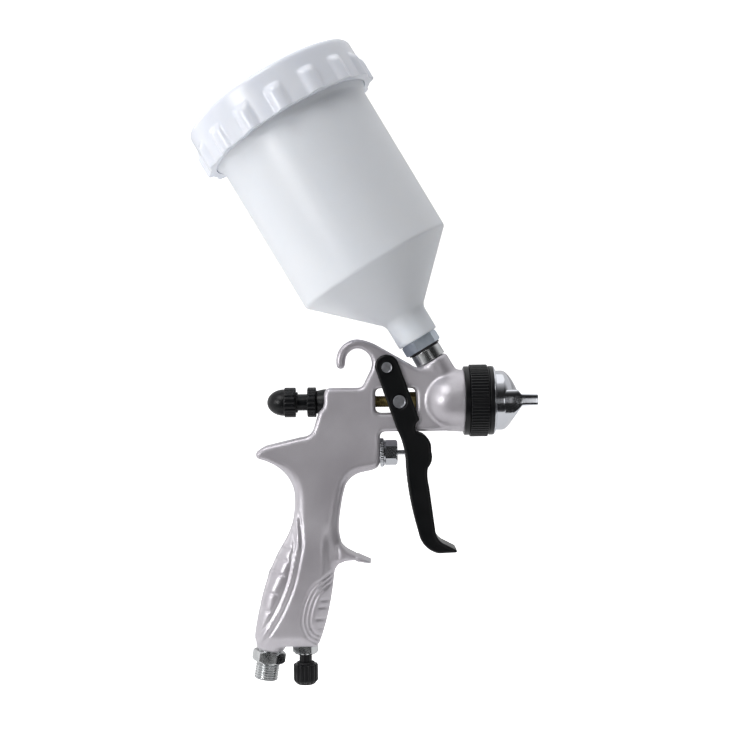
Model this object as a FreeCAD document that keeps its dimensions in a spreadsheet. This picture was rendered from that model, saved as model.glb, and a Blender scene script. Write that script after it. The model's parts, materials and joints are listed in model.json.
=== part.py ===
import FreeCAD, Part
import Sketcher
import math
import os
import re

# HVLP gravity-feed spray gun, in millimetres.
# The origin is the plane of the air horn tips, on the spray axis.
# +X is the spray direction, +Z is up and +Y is the gun's left side.

doc = FreeCAD.newDocument("spray_gun")
sheet = doc.addObject("Spreadsheet::Sheet", "Sizes")

# Driving sizes. A length that ends in _back is measured rearwards from the horn tips.
SIZES = {
    # Air cap, its ring and the head behind them
    "horn_reach": 9.1,
    "horn_root_half": 7.5,
    "horn_tip_half": 3.05,
    "horn_inner_radius": 10.4,
    "cap_radius": 16.5,
    "dome_height": 9.3,
    "dome_tip_radius": 4.2,
    "cap_wall": 1.8,
    "cap_hole_radius": 2.0,
    "cap_rim_length": 5.9,
    "cap_flange_length": 2.4,
    "cap_flange_step": 1.2,
    "ring_wall": 1.1,
    "ring_knurl_step": 0.9,
    "ring_length": 16.1,
    "ring_front_back": 23.4,
    "band_length": 1.1,
    "head_thread_step": 0.3,
    "head_shoulder": 0.6,
    "head_front_back": 29.6,
    "bulb_back": 46.0,
    "running_gap": 0.3,
    "pin_clearance": 0.05,
    # Fluid passage
    "needle_radius": 1.25,
    "nozzle_orifice_radius": 0.7,
    "nozzle_tip_radius": 1.4,
    "nozzle_shank_radius": 5.0,
    "nozzle_shank_length": 9.0,
    "nozzle_hex_radius": 7.6,
    "fluid_bore_radius": 3.2,
    "packing_radius": 4.0,
    # Casting
    "body_thickness": 18.0,
    "neck_bottom": 16.4,
    "block_top": 7.8,
    "block_rear_back": 115.6,
    "block_front_back": 86.0,
    "block_bottom": 36.9,
    "window_front_back": 66.0,
    "window_rear_back": 88.3,
    "window_top": 7.4,
    "window_bottom": 6.3,
    "hook_back": 97.8,
    "hook_height": 22.6,
    "hook_gap_radius": 7.1,
    "hook_outer_radius": 12.0,
    "hook_tip_height": 19.2,
    "grip_length": 134.2,
    "grip_thickness": 23.0,
    "grip_round": 4.5,
    "waist_height": 54.0,
    "waist_front_back": 107.6,
    "waist_rear_back": 133.3,
    "palm_height": 104.0,
    "palm_front_back": 113.3,
    "palm_rear_back": 151.4,
    "heel_front_back": 121.1,
    "heel_rear_back": 156.5,
    "tang_tip_back": 154.2,
    "tang_tip_height": 28.6,
    "spur_tip_back": 91.5,
    "spur_tip_height": 88.8,
    # Cup line: it crosses the spray axis and leans back
    "cup_lean": 30.4,
    "cup_line_back": 43.9,
    "boss_radius": 9.2,
    "boss_length": 26.3,
    "collar_radius": 8.7,
    "collar_length": 6.7,
    "inlet_bore_radius": 5.0,
    "gasket_thickness": 1.0,
    "adapter_across_corners": 22.0,
    "adapter_hex_length": 6.2,
    "adapter_shank_radius": 7.5,
    "adapter_shank_length": 9.0,
    "cup_neck_radius": 12.0,
    "cup_neck_length": 14.6,
    "cup_cone_length": 31.8,
    "cup_radius": 44.8,
    "cup_height": 136.5,
    "cup_wall": 2.0,
    "cup_rim_step": 2.6,
    "cup_rim_height": 157.2,
    "lid_wall": 3.6,
    "lid_height": 24.1,
    "lid_lug_reach": 2.3,
    "lid_lug_radius": 7.0,
    "lid_lug_height": 14.5,
    "lid_lugs": 16,
    "seal_thickness": 1.0,
    "filter_radius": 6.2,
    "filter_length": 18.0,
    # Trigger
    "pivot_back": 81.9,
    "pivot_height": 18.8,
    "pivot_pin_radius": 2.9,
    "trigger_eye_radius": 6.7,
    "trigger_plate": 2.2,
    "trigger_clearance": 0.3,
    "push_pin_ahead": 6.7,
    "push_pin_radius": 3.5,
    "web_thickness": 2.6,
    # Needle drive and the rear knob
    "sleeve_radius": 3.3,
    "sleeve_length": 19.0,
    "spring_bore_radius": 5.2,
    "needle_spring_wire": 0.5,
    "needle_spring_length": 16.0,
    "knob_radius": 8.3,
    "knob_neck_radius": 4.6,
    "knob_bush_length": 4.4,
    "lock_ring_length": 4.8,
    "knob_neck_length": 6.5,
    "knob_rim_length": 6.4,
    "knob_dome_length": 9.5,
    # Air valve
    "valve_height": 28.3,
    "valve_collar_radius": 8.0,
    "valve_collar_length": 3.1,
    "valve_hex_across_corners": 14.1,
    "valve_hex_length": 6.5,
    "valve_shank_radius": 6.0,
    "valve_shank_length": 14.0,
    "valve_stem_radius": 1.3,
    "valve_plunger_radius": 4.6,
    "valve_plunger_length": 3.0,
    "valve_spring_length": 18.0,
    "valve_spring_wire": 0.6,
    # Fittings at the foot of the grip
    "inlet_back": 147.9,
    "inlet_lean": 9.0,
    "inlet_boss_length": 3.2,
    "inlet_hex_across_corners": 18.5,
    "inlet_hex_length": 6.0,
    "inlet_thread_radius": 6.58,
    "inlet_thread_length": 9.8,
    "inlet_bore_radius_air": 3.5,
    "meter_back": 128.6,
    "meter_hex_across_corners": 14.2,
    "meter_hex_length": 5.2,
    "meter_stem_radius": 3.5,
    "meter_stem_length": 5.4,
    "meter_knob_radius": 6.8,
    "meter_knob_length": 11.3,
    # Fan width valve on the far side
    "fan_back": 104.0,
    "fan_height": 9.0,
    "fan_body_radius": 6.0,
    "fan_body_length": 4.0,
    "fan_knob_radius": 7.5,
    "fan_knob_length": 8.0,
}

# Sizes that follow from the driving ones, so that what fits together stays together.
FITS = {
    "cap_flange_radius": "cap_radius + cap_flange_step",
    "ring_lip_radius": "cap_flange_radius + running_gap + ring_wall",
    "ring_radius": "ring_lip_radius + ring_knurl_step",
    "head_thread_radius": "cap_radius + head_thread_step",
    "head_radius": "head_thread_radius + head_shoulder",
    "bulb_radius": "cap_radius + head_shoulder - 0.1",
    "packing_nut_radius": "packing_radius + 1.2",
    "knob_bush_radius": "spring_bore_radius + 2",
    "adapter_bore_radius": "inlet_bore_radius",
    "cup_rim_radius": "cup_radius + cup_rim_step",
    "lid_radius": "cup_rim_radius + running_gap + lid_wall",
    "trigger_gap": "body_thickness + 2 * trigger_clearance",
    "push_pin_back": "pivot_back - push_pin_ahead",
    "inlet_boss_radius": "inlet_thread_radius + 1.02",
}

for row, (alias, size) in enumerate(SIZES.items(), start=1):
    sheet.set("A%d" % row, alias)
    sheet.set("B%d" % row, str(size))
    sheet.setAlias("B%d" % row, alias)
doc.recompute()

WORD = re.compile(r"[a-z][a-z_]*[a-z]")


def bind(text):
    """Point each size's name at the sheet, for use in an expression; a fit is spelled out in driving sizes."""
    def spelled(found):
        word = found.group()
        if word in FITS:
            return "(" + bind(FITS[word]) + ")"
        return "Sizes." + word if word in SIZES else word
    return WORD.sub(spelled, text)


def number(text):
    """The present value of an expression."""
    worth = sheet.evalExpression(bind(text))
    return float(getattr(worth, "Value", worth))


def place(item, x="0", y="0", z="0", lean="0", about=(0, 1, 0)):
    """Put an object at x, y, z, turned by lean degrees, all bound to the sheet."""
    item.Placement = FreeCAD.Placement(FreeCAD.Vector(number(x), number(y), number(z)),
                                       FreeCAD.Rotation(FreeCAD.Vector(*about), number(lean)))
    for axis, text in (("x", x), ("y", y), ("z", z)):
        if text != "0":
            item.setExpression("Placement.Base." + axis, bind(text))
    if any(letter.isalpha() for letter in lean):
        item.setExpression("Placement.Rotation.Angle", "(" + bind(lean) + ") * 1 deg")
    return item


def arc_between(start, end, radius):
    """A short arc; a positive radius bulges to the right of the way from start to end."""
    chord = end - start
    middle = (start + end) * 0.5
    reach = math.sqrt(max(radius * radius - chord.Length ** 2 / 4.0, 0.0))
    right = FreeCAD.Vector(chord.y, -chord.x, 0).normalize()
    centre = middle - right * (reach if radius > 0 else -reach)
    first = math.atan2(start.y - centre.y, start.x - centre.x)
    last = math.atan2(end.y - centre.y, end.x - centre.x)
    circle = Part.Circle(centre, FreeCAD.Vector(0, 0, 1), abs(radius))
    if radius > 0:
        return Part.ArcOfCircle(circle, first, last), (1, 2)
    return Part.ArcOfCircle(circle, last, first), (2, 1)


def draw(sketch, corners):
    """A closed outline. Each corner is (x, y) or (x, y, radius of the arc to the next corner)."""
    spots = [FreeCAD.Vector(number(corner[0]), number(corner[1]), 0) for corner in corners]
    ends = []
    for index, corner in enumerate(corners):
        start = spots[index]
        end = spots[(index + 1) % len(spots)]
        if len(corner) == 3:
            shape, order = arc_between(start, end, number(corner[2]))
        else:
            shape, order = Part.LineSegment(start, end), (1, 2)
        ends.append((sketch.addGeometry(shape, False), order))
    for index, corner in enumerate(corners):
        edge, order = ends[index]
        following, next_order = ends[(index + 1) % len(ends)]
        sketch.addConstraint(Sketcher.Constraint("Coincident", edge, order[1], following, next_order[0]))
        for kind, text, axis in (("DistanceX", corner[0], -2), ("DistanceY", corner[1], -1)):
            if text == "0":
                sketch.addConstraint(Sketcher.Constraint("PointOnObject", edge, order[0], axis))
                continue
            held = sketch.addConstraint(Sketcher.Constraint(kind, -1, 1, edge, order[0], number(text)))
            sketch.setExpression("Constraints[%d]" % held, bind(text))
        if len(corner) == 3:
            held = sketch.addConstraint(Sketcher.Constraint("Radius", edge, abs(number(corner[2]))))
            sketch.setExpression("Constraints[%d]" % held, bind("abs(" + corner[2] + ")"))


def new_sketch(body, name, plane="XZ_Plane"):
    """A sketch on one of the body's own origin planes."""
    support = [item for item in body.Origin.OriginFeatures if item.Role == plane][0]
    sketch = body.newObject("Sketcher::SketchObject", name)
    sketch.AttachmentSupport = [(support, "")]
    sketch.MapMode = "FlatFace"
    return sketch


def turned(label, corners, line="along_x", **spot):
    """A body turned about its X axis (corners are x, radius) or its Z axis (radius, z)."""
    body = doc.addObject("PartDesign::Body", label)
    sketch = new_sketch(body, label + "_profile")
    draw(sketch, corners)
    feature = body.newObject("PartDesign::Revolution", label + "_turn")
    feature.Profile = sketch
    feature.ReferenceAxis = (sketch, ["H_Axis" if line == "along_x" else "V_Axis"])
    feature.Angle = 360
    return place(body, **spot)


def plate(label, corners, thickness, **spot):
    """A flat body with a side outline, centred on the gun's middle plane."""
    body = doc.addObject("PartDesign::Body", label)
    sketch = new_sketch(body, label + "_outline")
    draw(sketch, corners)
    feature = body.newObject("PartDesign::Pad", label + "_pad")
    feature.Profile = sketch
    feature.SideType = "Symmetric"
    feature.setExpression("Length", bind(thickness))
    return place(body, **spot)


def rounded(body, thickness, radius):
    """Round the edges of a plate's two flat sides."""
    doc.recompute()
    base = body.Tip
    half = number(thickness) / 2.0
    names = []
    for index, edge in enumerate(base.Shape.Edges, start=1):
        if all(abs(abs(vertex.Y) - half) < 1e-6 for vertex in edge.Vertexes):
            if abs(edge.Vertexes[0].Y - edge.Vertexes[-1].Y) < 1e-6:
                names.append("Edge%d" % index)
    feature = body.newObject("PartDesign::Fillet", body.Name + "_round")
    feature.Base = (base, names)
    feature.setExpression("Radius", bind(radius))
    body.Tip = feature
    return body


def rod(name, radius, length, **spot):
    """A round bar, along Z before it is turned."""
    bar = doc.addObject("Part::Cylinder", name)
    bar.setExpression("Radius", bind(radius))
    bar.setExpression("Height", bind(length))
    return place(bar, **spot)


def hexagon(name, across_corners, length, **spot):
    """A six-sided bar, along Z before it is turned."""
    bar = doc.addObject("Part::Prism", name)
    bar.Polygon = 6
    bar.setExpression("Circumradius", bind(across_corners + " / 2"))
    bar.setExpression("Height", bind(length))
    return place(bar, **spot)


def block(name, length, width, height, **spot):
    """A rectangular bar, from its lowest corner."""
    bar = doc.addObject("Part::Box", name)
    for side, text in (("Length", length), ("Width", width), ("Height", height)):
        bar.setExpression(side, bind(text))
    return place(bar, **spot)


def joined(label, *items):
    """Several solids made one."""
    whole = doc.addObject("Part::MultiFuse", label)
    whole.Shapes = list(items)
    whole.Refine = True
    return whole


def cut(label, base, *tools):
    """A solid with others taken out of it."""
    rest = doc.addObject("Part::Cut", label)
    rest.Base = base
    rest.Tool = tools[0] if len(tools) == 1 else joined(label + "_cutters", *tools)
    rest.Refine = True
    return rest


def coil(label, radius, wire, length, turns, **spot):
    """A compression spring, along Z before it is turned."""
    helix = doc.addObject("Part::Helix", label + "_line")
    helix.SegmentLength = 0
    helix.setExpression("Radius", bind(radius))
    helix.setExpression("Height", bind(length + " - 2 * " + wire))
    helix.setExpression("Pitch", bind("(" + length + " - 2 * " + wire + ") / %d" % turns))
    section = doc.addObject("Part::Circle", label + "_section")
    section.setExpression("Radius", bind(wire))
    section.setExpression("Placement.Base.x", bind(radius))
    section.Placement.Rotation = FreeCAD.Rotation(FreeCAD.Vector(1, 0, 0), 90)
    spring = doc.addObject("Part::Sweep", label)
    spring.Sections = [section]
    spring.Spine = (helix, ["Edge1"])
    spring.Solid = True
    spring.Frenet = True
    return place(spring, **spot)


nodes = []


def keep(item, label=None):
    """Name a finished piece and list it for writing."""
    if label:
        item.Label = label
    nodes.append(item)
    return item


# ---------------------------------------------------------------------------
# Places that several pieces share
# ---------------------------------------------------------------------------
DOME_TIP = "-horn_reach"
RIM_FRONT = "-(horn_reach + dome_height)"
FLANGE_FRONT = "-(horn_reach + dome_height + cap_rim_length)"
FLANGE_REAR = "-(horn_reach + dome_height + cap_rim_length + cap_flange_length)"
RING_REAR = "-(ring_front_back + ring_length)"
CUP = {"x": "-cup_line_back", "lean": "-cup_lean"}
COLLAR_TOP = "(boss_length + collar_length)"
ADAPTER_BASE = "(boss_length + collar_length + gasket_thickness)"
CUP_BASE = "(boss_length + collar_length + gasket_thickness + adapter_hex_length)"
CUP_TOP = "(" + CUP_BASE + " + cup_rim_height)"
LID_BASE = "(" + CUP_BASE + " + cup_height)"
LID_TOP = "(" + LID_BASE + " + lid_height)"
INLET = {"x": "-inlet_back", "z": "-grip_length", "lean": "180 + inlet_lean"}
INLET_ROOT = {"x": "-inlet_back + 7 * sin(inlet_lean)", "z": "-grip_length + 7 * cos(inlet_lean)",
              "lean": "180 + inlet_lean"}
METER = {"x": "-meter_back", "z": "-grip_length", "lean": "180"}
VALVE_FACE = "-block_front_back"
COLLAR_FACE = "-(block_front_back - valve_collar_length)"
BUSH_SEAT = "-(block_rear_back + 0.6)"
BUSH_REAR = "-(block_rear_back + 1.2 + knob_bush_length)"
LOCK_REAR = "-(block_rear_back + 1.2 + knob_bush_length + lock_ring_length)"
SLEEVE_FRONT = "-(push_pin_back + push_pin_radius + 0.2)"
FORWARD = {"lean": "90"}

# ---------------------------------------------------------------------------
# Gun body: one die casting with the hook, the tang, the spur, the grip and the head
# ---------------------------------------------------------------------------
side = plate("body_side", [
    ("-block_rear_back", "block_top"),
    ("-(hook_back - 2)", "block_top"),
    ("-(hook_back - hook_gap_radius)", "hook_height - 4.6", "hook_gap_radius + 1.5"),
    ("-hook_back", "hook_height + hook_gap_radius", "hook_gap_radius"),
    ("-(hook_back + hook_gap_radius)", "hook_height"),
    ("-(hook_back + hook_gap_radius + 0.2)", "hook_tip_height + 0.8", "-2.4"),
    ("-(hook_back + hook_outer_radius - 0.2)", "hook_tip_height + 0.2"),
    ("-(hook_back + hook_outer_radius)", "hook_height", "-hook_outer_radius"),
    ("-hook_back", "hook_height + hook_outer_radius", "-30"),
    ("-(pivot_back + 5)", "pivot_height + 12.2"),
    ("-(cup_line_back + 21)", "18.2"),
    ("-bulb_back", "10"),
    ("-bulb_back", "-neck_bottom"),
    ("-block_front_back", "-neck_bottom"),
    ("-block_front_back", "-block_bottom"),
    ("-(block_front_back + 9)", "-(block_bottom + 1.8)", "13"),
    ("-(waist_front_back - 2.2)", "-(waist_height - 8)"),
    ("-waist_front_back", "-waist_height"),
    ("-(waist_front_back + 2.4)", "-(spur_tip_height - 18)", "12"),
    ("-(spur_tip_back + 11.8)", "-(spur_tip_height - 6)"),
    ("-spur_tip_back", "-(spur_tip_height - 0.6)"),
    ("-spur_tip_back", "-spur_tip_height"),
    ("-(spur_tip_back + 12)", "-(spur_tip_height - 1.6)", "9"),
    ("-(palm_front_back - 1.5)", "-(spur_tip_height + 4)"),
    ("-palm_front_back", "-palm_height", "-140"),
    ("-heel_front_back", "-grip_length"),
    ("-(heel_rear_back - 5)", "-grip_length", "-5.5"),
    ("-heel_rear_back", "-(grip_length - 5)", "-200"),
    ("-palm_rear_back", "-palm_height", "-120"),
    ("-(waist_rear_back + 9)", "-(waist_height + 27)", "40"),
    ("-waist_rear_back", "-waist_height", "22"),
    ("-(waist_rear_back + 7.5)", "-(tang_tip_height + 8.4)", "26"),
    ("-(tang_tip_back - 1.2)", "-(tang_tip_height + 2.2)", "-2.6"),
    ("-(tang_tip_back - 1.2)", "-(tang_tip_height - 2.6)", "-10"),
    ("-(tang_tip_back - 6)", "-(tang_tip_height - 5)"),
    ("-(block_rear_back + 14)", "-19.3", "7"),
    ("-(block_rear_back + 6.8)", "-14"),
], "body_thickness")

palm = plate("body_palm", [
    ("-(waist_front_back + 7)", "-(waist_height + 18)"),
    ("-(palm_front_back + 2.2)", "-palm_height"),
    ("-(heel_front_back + 2.2)", "-(grip_length - 1.5)"),
    ("-(heel_rear_back - 6)", "-(grip_length - 1.5)"),
    ("-(heel_rear_back - 1.5)", "-(grip_length - 6)"),
    ("-(palm_rear_back - 2)", "-palm_height"),
    ("-(waist_rear_back - 1)", "-(waist_height + 14)"),
], "grip_thickness")
rounded(palm, "grip_thickness", "grip_round")

head = turned("body_head", [
    ("-(bulb_back + bulb_radius)", "0", "-bulb_radius"),
    ("-bulb_back", "bulb_radius"),
    (RING_REAR, "head_radius"),
    (RING_REAR, "head_thread_radius"),
    ("-head_front_back", "head_thread_radius"),
    ("-head_front_back", "0"),
])
boss = rod("body_boss", "boss_radius", "boss_length", **CUP)
inlet_boss = rod("body_inlet_boss", "inlet_boss_radius + 0.6", "inlet_boss_length + 7", **INLET_ROOT)
casting = joined("body_casting", side, palm, head, boss, inlet_boss)

window = block("body_window", "window_rear_back - window_front_back", "body_thickness + 20",
               "window_top + window_bottom",
               x="-window_rear_back", y="-(body_thickness / 2 + 10)", z="-window_bottom")
fluid_way = turned("body_fluid_way", [
    ("-(head_front_back - 1)", "0"),
    ("-(head_front_back - 1)", "nozzle_shank_radius"),
    ("-(head_front_back + nozzle_shank_length)", "nozzle_shank_radius"),
    ("-(head_front_back + nozzle_shank_length)", "fluid_bore_radius"),
    ("-(window_front_back - 8)", "fluid_bore_radius"),
    ("-(window_front_back - 8)", "packing_radius"),
    ("-(window_front_back + 1)", "packing_radius"),
    ("-(window_front_back + 1)", "0"),
])
cup_way = rod("body_cup_way", "inlet_bore_radius", "boss_length + 2", **CUP)
needle_way = turned("body_needle_way", [
    ("-(window_rear_back - 1)", "0"),
    ("-(window_rear_back - 1)", "sleeve_radius + pin_clearance"),
    ("-(window_rear_back + 7)", "sleeve_radius + pin_clearance"),
    ("-(window_rear_back + 7)", "spring_bore_radius"),
    (BUSH_SEAT, "spring_bore_radius"),
    (BUSH_SEAT, "knob_bush_radius + pin_clearance"),
    ("-(block_rear_back + 12)", "knob_bush_radius + pin_clearance"),
    ("-(block_rear_back + 12)", "0"),
])
pivot_way = rod("body_pivot_way", "pivot_pin_radius + pin_clearance", "body_thickness + 4",
                x="-pivot_back", y="body_thickness / 2 + 2", z="pivot_height", lean="90", about=(1, 0, 0))
valve_way = turned("body_valve_way", [
    ("-(block_front_back - 1)", "0"),
    ("-(block_front_back - 1)", "valve_shank_radius"),
    ("-(block_front_back + valve_shank_length + valve_spring_length + 7)", "valve_shank_radius"),
    ("-(block_front_back + valve_shank_length + valve_spring_length + 7)", "0"),
], z="-valve_height")
air_way = rod("body_air_way", "inlet_bore_radius_air", "40", x="-inlet_back", z="-grip_length", lean="inlet_lean")
inlet_way = rod("body_inlet_way", "inlet_thread_radius", "inlet_boss_length + 8", **INLET_ROOT)
meter_way = rod("body_meter_way", "meter_stem_radius + 1", "13", x="-meter_back", z="-grip_length - 1")
fan_way = rod("body_fan_way", "fan_body_radius - 2", "body_thickness / 2 + 2",
              x="-fan_back", y="body_thickness / 2 + 2", z="-fan_height", lean="90", about=(1, 0, 0))
keep(cut("gun_body", casting, window, fluid_way, cup_way, needle_way, pivot_way, valve_way,
         air_way, inlet_way, meter_way, fan_way))

# ---------------------------------------------------------------------------
# Spray head: nozzle, air ring, air cap and the ring that holds it
# ---------------------------------------------------------------------------
keep(turned("fluid_nozzle", [
    ("-(head_front_back + nozzle_shank_length)", "needle_radius + 0.6"),
    ("-(head_front_back + nozzle_shank_length)", "nozzle_shank_radius"),
    ("-head_front_back", "nozzle_shank_radius"),
    ("-head_front_back", "nozzle_hex_radius"),
    ("-(head_front_back - 6)", "nozzle_hex_radius"),
    ("-(head_front_back - 9)", "nozzle_shank_radius - 1"),
    ("-(horn_reach + 5)", "nozzle_tip_radius + 1.6"),
    ("-(horn_reach + cap_wall + 0.4)", "nozzle_tip_radius"),
    ("-(horn_reach - 0.3)", "nozzle_tip_radius"),
    ("-(horn_reach - 0.3)", "nozzle_orifice_radius"),
    ("-(horn_reach + 0.7)", "nozzle_orifice_radius"),
    ("-(horn_reach + 4)", "needle_radius + 0.6"),
]))
keep(turned("air_ring", [
    ("-head_front_back", "nozzle_hex_radius + running_gap"),
    ("-head_front_back", "head_thread_radius - 1"),
    ("-(head_front_back - 1.6)", "head_thread_radius - 1"),
    ("-(head_front_back - 1.6)", "nozzle_hex_radius + running_gap"),
]))
dome = turned("cap_dome", [
    (FLANGE_REAR, "cap_radius - 2.2"),
    (FLANGE_REAR, "cap_flange_radius"),
    (FLANGE_FRONT, "cap_flange_radius"),
    (FLANGE_FRONT, "cap_radius"),
    (RIM_FRONT, "cap_radius", "-4.6"),
    ("-(horn_reach + dome_height - 3)", "cap_radius - 2.4", "-60"),
    (DOME_TIP, "dome_tip_radius"),
    (DOME_TIP, "cap_hole_radius"),
    ("-(horn_reach + cap_wall)", "cap_hole_radius"),
    ("-(horn_reach + dome_height - 1.4)", "cap_radius - 4.6"),
    ("-(horn_reach + dome_height + 1)", "cap_radius - 2.2"),
])
horn_side = plate("cap_horn_side", [
    ("-(horn_reach + dome_height - 1.5)", "-horn_root_half"),
    ("-(horn_reach + 3.4)", "-horn_root_half"),
    ("-(horn_reach - 0.6)", "-horn_tip_half"),
    ("0", "-horn_tip_half"),
    ("0", "horn_tip_half"),
    ("-(horn_reach - 0.6)", "horn_tip_half"),
    ("-(horn_reach + 3.4)", "horn_root_half"),
    ("-(horn_reach + dome_height - 1.5)", "horn_root_half"),
], "2 * cap_radius + 2")
horn_shell = turned("cap_horn_shell", [
    ("-(horn_reach + dome_height)", "horn_inner_radius + 3.2"),
    ("-(horn_reach + dome_height)", "cap_radius"),
    ("1", "cap_radius"),
    ("1", "horn_inner_radius"),
    ("-(horn_reach + 2.6)", "horn_inner_radius"),
    ("-(horn_reach + 4.2)", "horn_inner_radius + 1.2"),
])
horns = doc.addObject("Part::Common", "cap_horns")
horns.Base = horn_side
horns.Tool = horn_shell
cap = joined("cap_blank", dome, horns)
jets = [rod("horn_jet_" + jet, "0.7", "9", x="-2.6", y="%d * (horn_inner_radius - 4)" % sign,
            z="0", lean="%d" % (-90 * sign), about=(1, 0, 0))
        for jet, sign in (("left", 1), ("right", -1))]
keep(cut("air_cap", cap, *jets))

ring = turned("ring_blank", [
    (RING_REAR, "head_thread_radius + running_gap"),
    (RING_REAR, "ring_lip_radius"),
    ("-(ring_front_back + ring_length - 2.6)", "ring_lip_radius"),
    ("-(ring_front_back + ring_length - 2.6)", "ring_radius"),
    ("-(ring_front_back + 2.7)", "ring_radius"),
    ("-(ring_front_back + 2.7)", "ring_lip_radius"),
    ("-ring_front_back", "ring_lip_radius"),
    ("-ring_front_back", "cap_radius + running_gap"),
    (FLANGE_FRONT + " + running_gap", "cap_radius + running_gap"),
    (FLANGE_FRONT + " + running_gap", "cap_flange_radius + running_gap"),
    (FLANGE_REAR + " - running_gap", "cap_flange_radius + running_gap"),
    (FLANGE_REAR + " - running_gap", "head_thread_radius + running_gap"),
])
keep(ring, "retaining_ring")
keep(turned("ring_band", [
    ("-ring_front_back", "cap_radius + running_gap"),
    ("-ring_front_back", "ring_lip_radius - 0.1"),
    ("-(ring_front_back - band_length)", "ring_lip_radius - 0.3"),
    ("-(ring_front_back - band_length)", "cap_radius + running_gap"),
]))

# ---------------------------------------------------------------------------
# Needle line: needle, sleeve, packing, spring and the rear knob
# ---------------------------------------------------------------------------
keep(turned("fluid_needle", [
    ("-(horn_reach + 1)", "0"),
    ("-(horn_reach + 1)", "nozzle_orifice_radius - 0.1"),
    ("-(horn_reach + 5)", "needle_radius"),
    ("-(block_rear_back + 9)", "needle_radius"),
    ("-(block_rear_back + 9)", "0"),
]))
keep(turned("needle_sleeve", [
    (SLEEVE_FRONT, "needle_radius"),
    (SLEEVE_FRONT, "sleeve_radius"),
    (SLEEVE_FRONT + " - sleeve_length + 1.6", "sleeve_radius"),
    (SLEEVE_FRONT + " - sleeve_length + 1.6", "spring_bore_radius - 0.4"),
    (SLEEVE_FRONT + " - sleeve_length", "spring_bore_radius - 0.4"),
    (SLEEVE_FRONT + " - sleeve_length", "needle_radius"),
]))
keep(turned("packing_seal", [
    ("-(window_front_back - 8)", "needle_radius + pin_clearance"),
    ("-(window_front_back - 8)", "packing_radius"),
    ("-(window_front_back - 5)", "packing_radius"),
    ("-(window_front_back - 5)", "needle_radius + pin_clearance"),
]))
nut_hex = hexagon("packing_nut_hex", "2 * packing_nut_radius", "4", x="-(window_front_back + 4)", **FORWARD)
nut_shank = rod("packing_nut_shank", "packing_radius", "5", x="-window_front_back", **FORWARD)
nut_bore = rod("packing_nut_bore", "needle_radius + running_gap", "12", x="-(window_front_back + 5)", **FORWARD)
keep(cut("packing_nut", joined("packing_nut_blank", nut_hex, nut_shank), nut_bore))
keep(coil("needle_spring", "spring_bore_radius - 1.6", "needle_spring_wire", "needle_spring_length", 8,
          x=SLEEVE_FRONT + " - sleeve_length - needle_spring_wire - 0.05", lean="-90"))

keep(turned("knob_bush", [
    (BUSH_REAR, "knob_neck_radius - 0.6 + pin_clearance"),
    ("-(block_rear_back - 3)", "knob_neck_radius - 0.6 + pin_clearance"),
    ("-(block_rear_back - 3)", "spring_bore_radius"),
    (BUSH_SEAT, "spring_bore_radius"),
    (BUSH_SEAT, "knob_bush_radius"),
    (BUSH_REAR, "knob_bush_radius"),
]))
lock_blank = turned("lock_ring_blank", [
    (BUSH_REAR, "knob_neck_radius + pin_clearance"),
    (BUSH_REAR, "knob_radius"),
    (LOCK_REAR, "knob_radius"),
    (LOCK_REAR, "knob_neck_radius + pin_clearance"),
])
keep(lock_blank, "lock_ring")
knob = turned("fluid_knob", [
    ("-(block_rear_back - 1)", "needle_radius + 0.6"),
    ("-(block_rear_back - 1)", "knob_neck_radius - 0.6"),
    (LOCK_REAR + " + 1", "knob_neck_radius - 0.6"),
    (LOCK_REAR + " + 1", "knob_neck_radius"),
    (LOCK_REAR + " - knob_neck_length", "knob_neck_radius"),
    (LOCK_REAR + " - knob_neck_length", "knob_radius - 0.8"),
    (LOCK_REAR + " - knob_neck_length - 0.8", "knob_radius"),
    (LOCK_REAR + " - knob_neck_length - knob_rim_length + 0.8", "knob_radius"),
    (LOCK_REAR + " - knob_neck_length - knob_rim_length", "knob_radius - 1.2", "7.6"),
    (LOCK_REAR + " - knob_neck_length - knob_rim_length - knob_dome_length", "2.4"),
    (LOCK_REAR + " - knob_neck_length - knob_rim_length - knob_dome_length", "0"),
    ("-(block_rear_back + 16)", "0"),
    ("-(block_rear_back + 16)", "needle_radius + 0.6"),
])
keep(knob)
KNOB_FACE = LOCK_REAR + " - knob_neck_length"
keep(turned("knob_seal", [
    (KNOB_FACE, "knob_neck_radius + pin_clearance"),
    (KNOB_FACE, "knob_neck_radius + 1.1"),
    (KNOB_FACE + " + 1", "knob_neck_radius + 1.1"),
    (KNOB_FACE + " + 1", "knob_neck_radius + pin_clearance"),
]))

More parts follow.
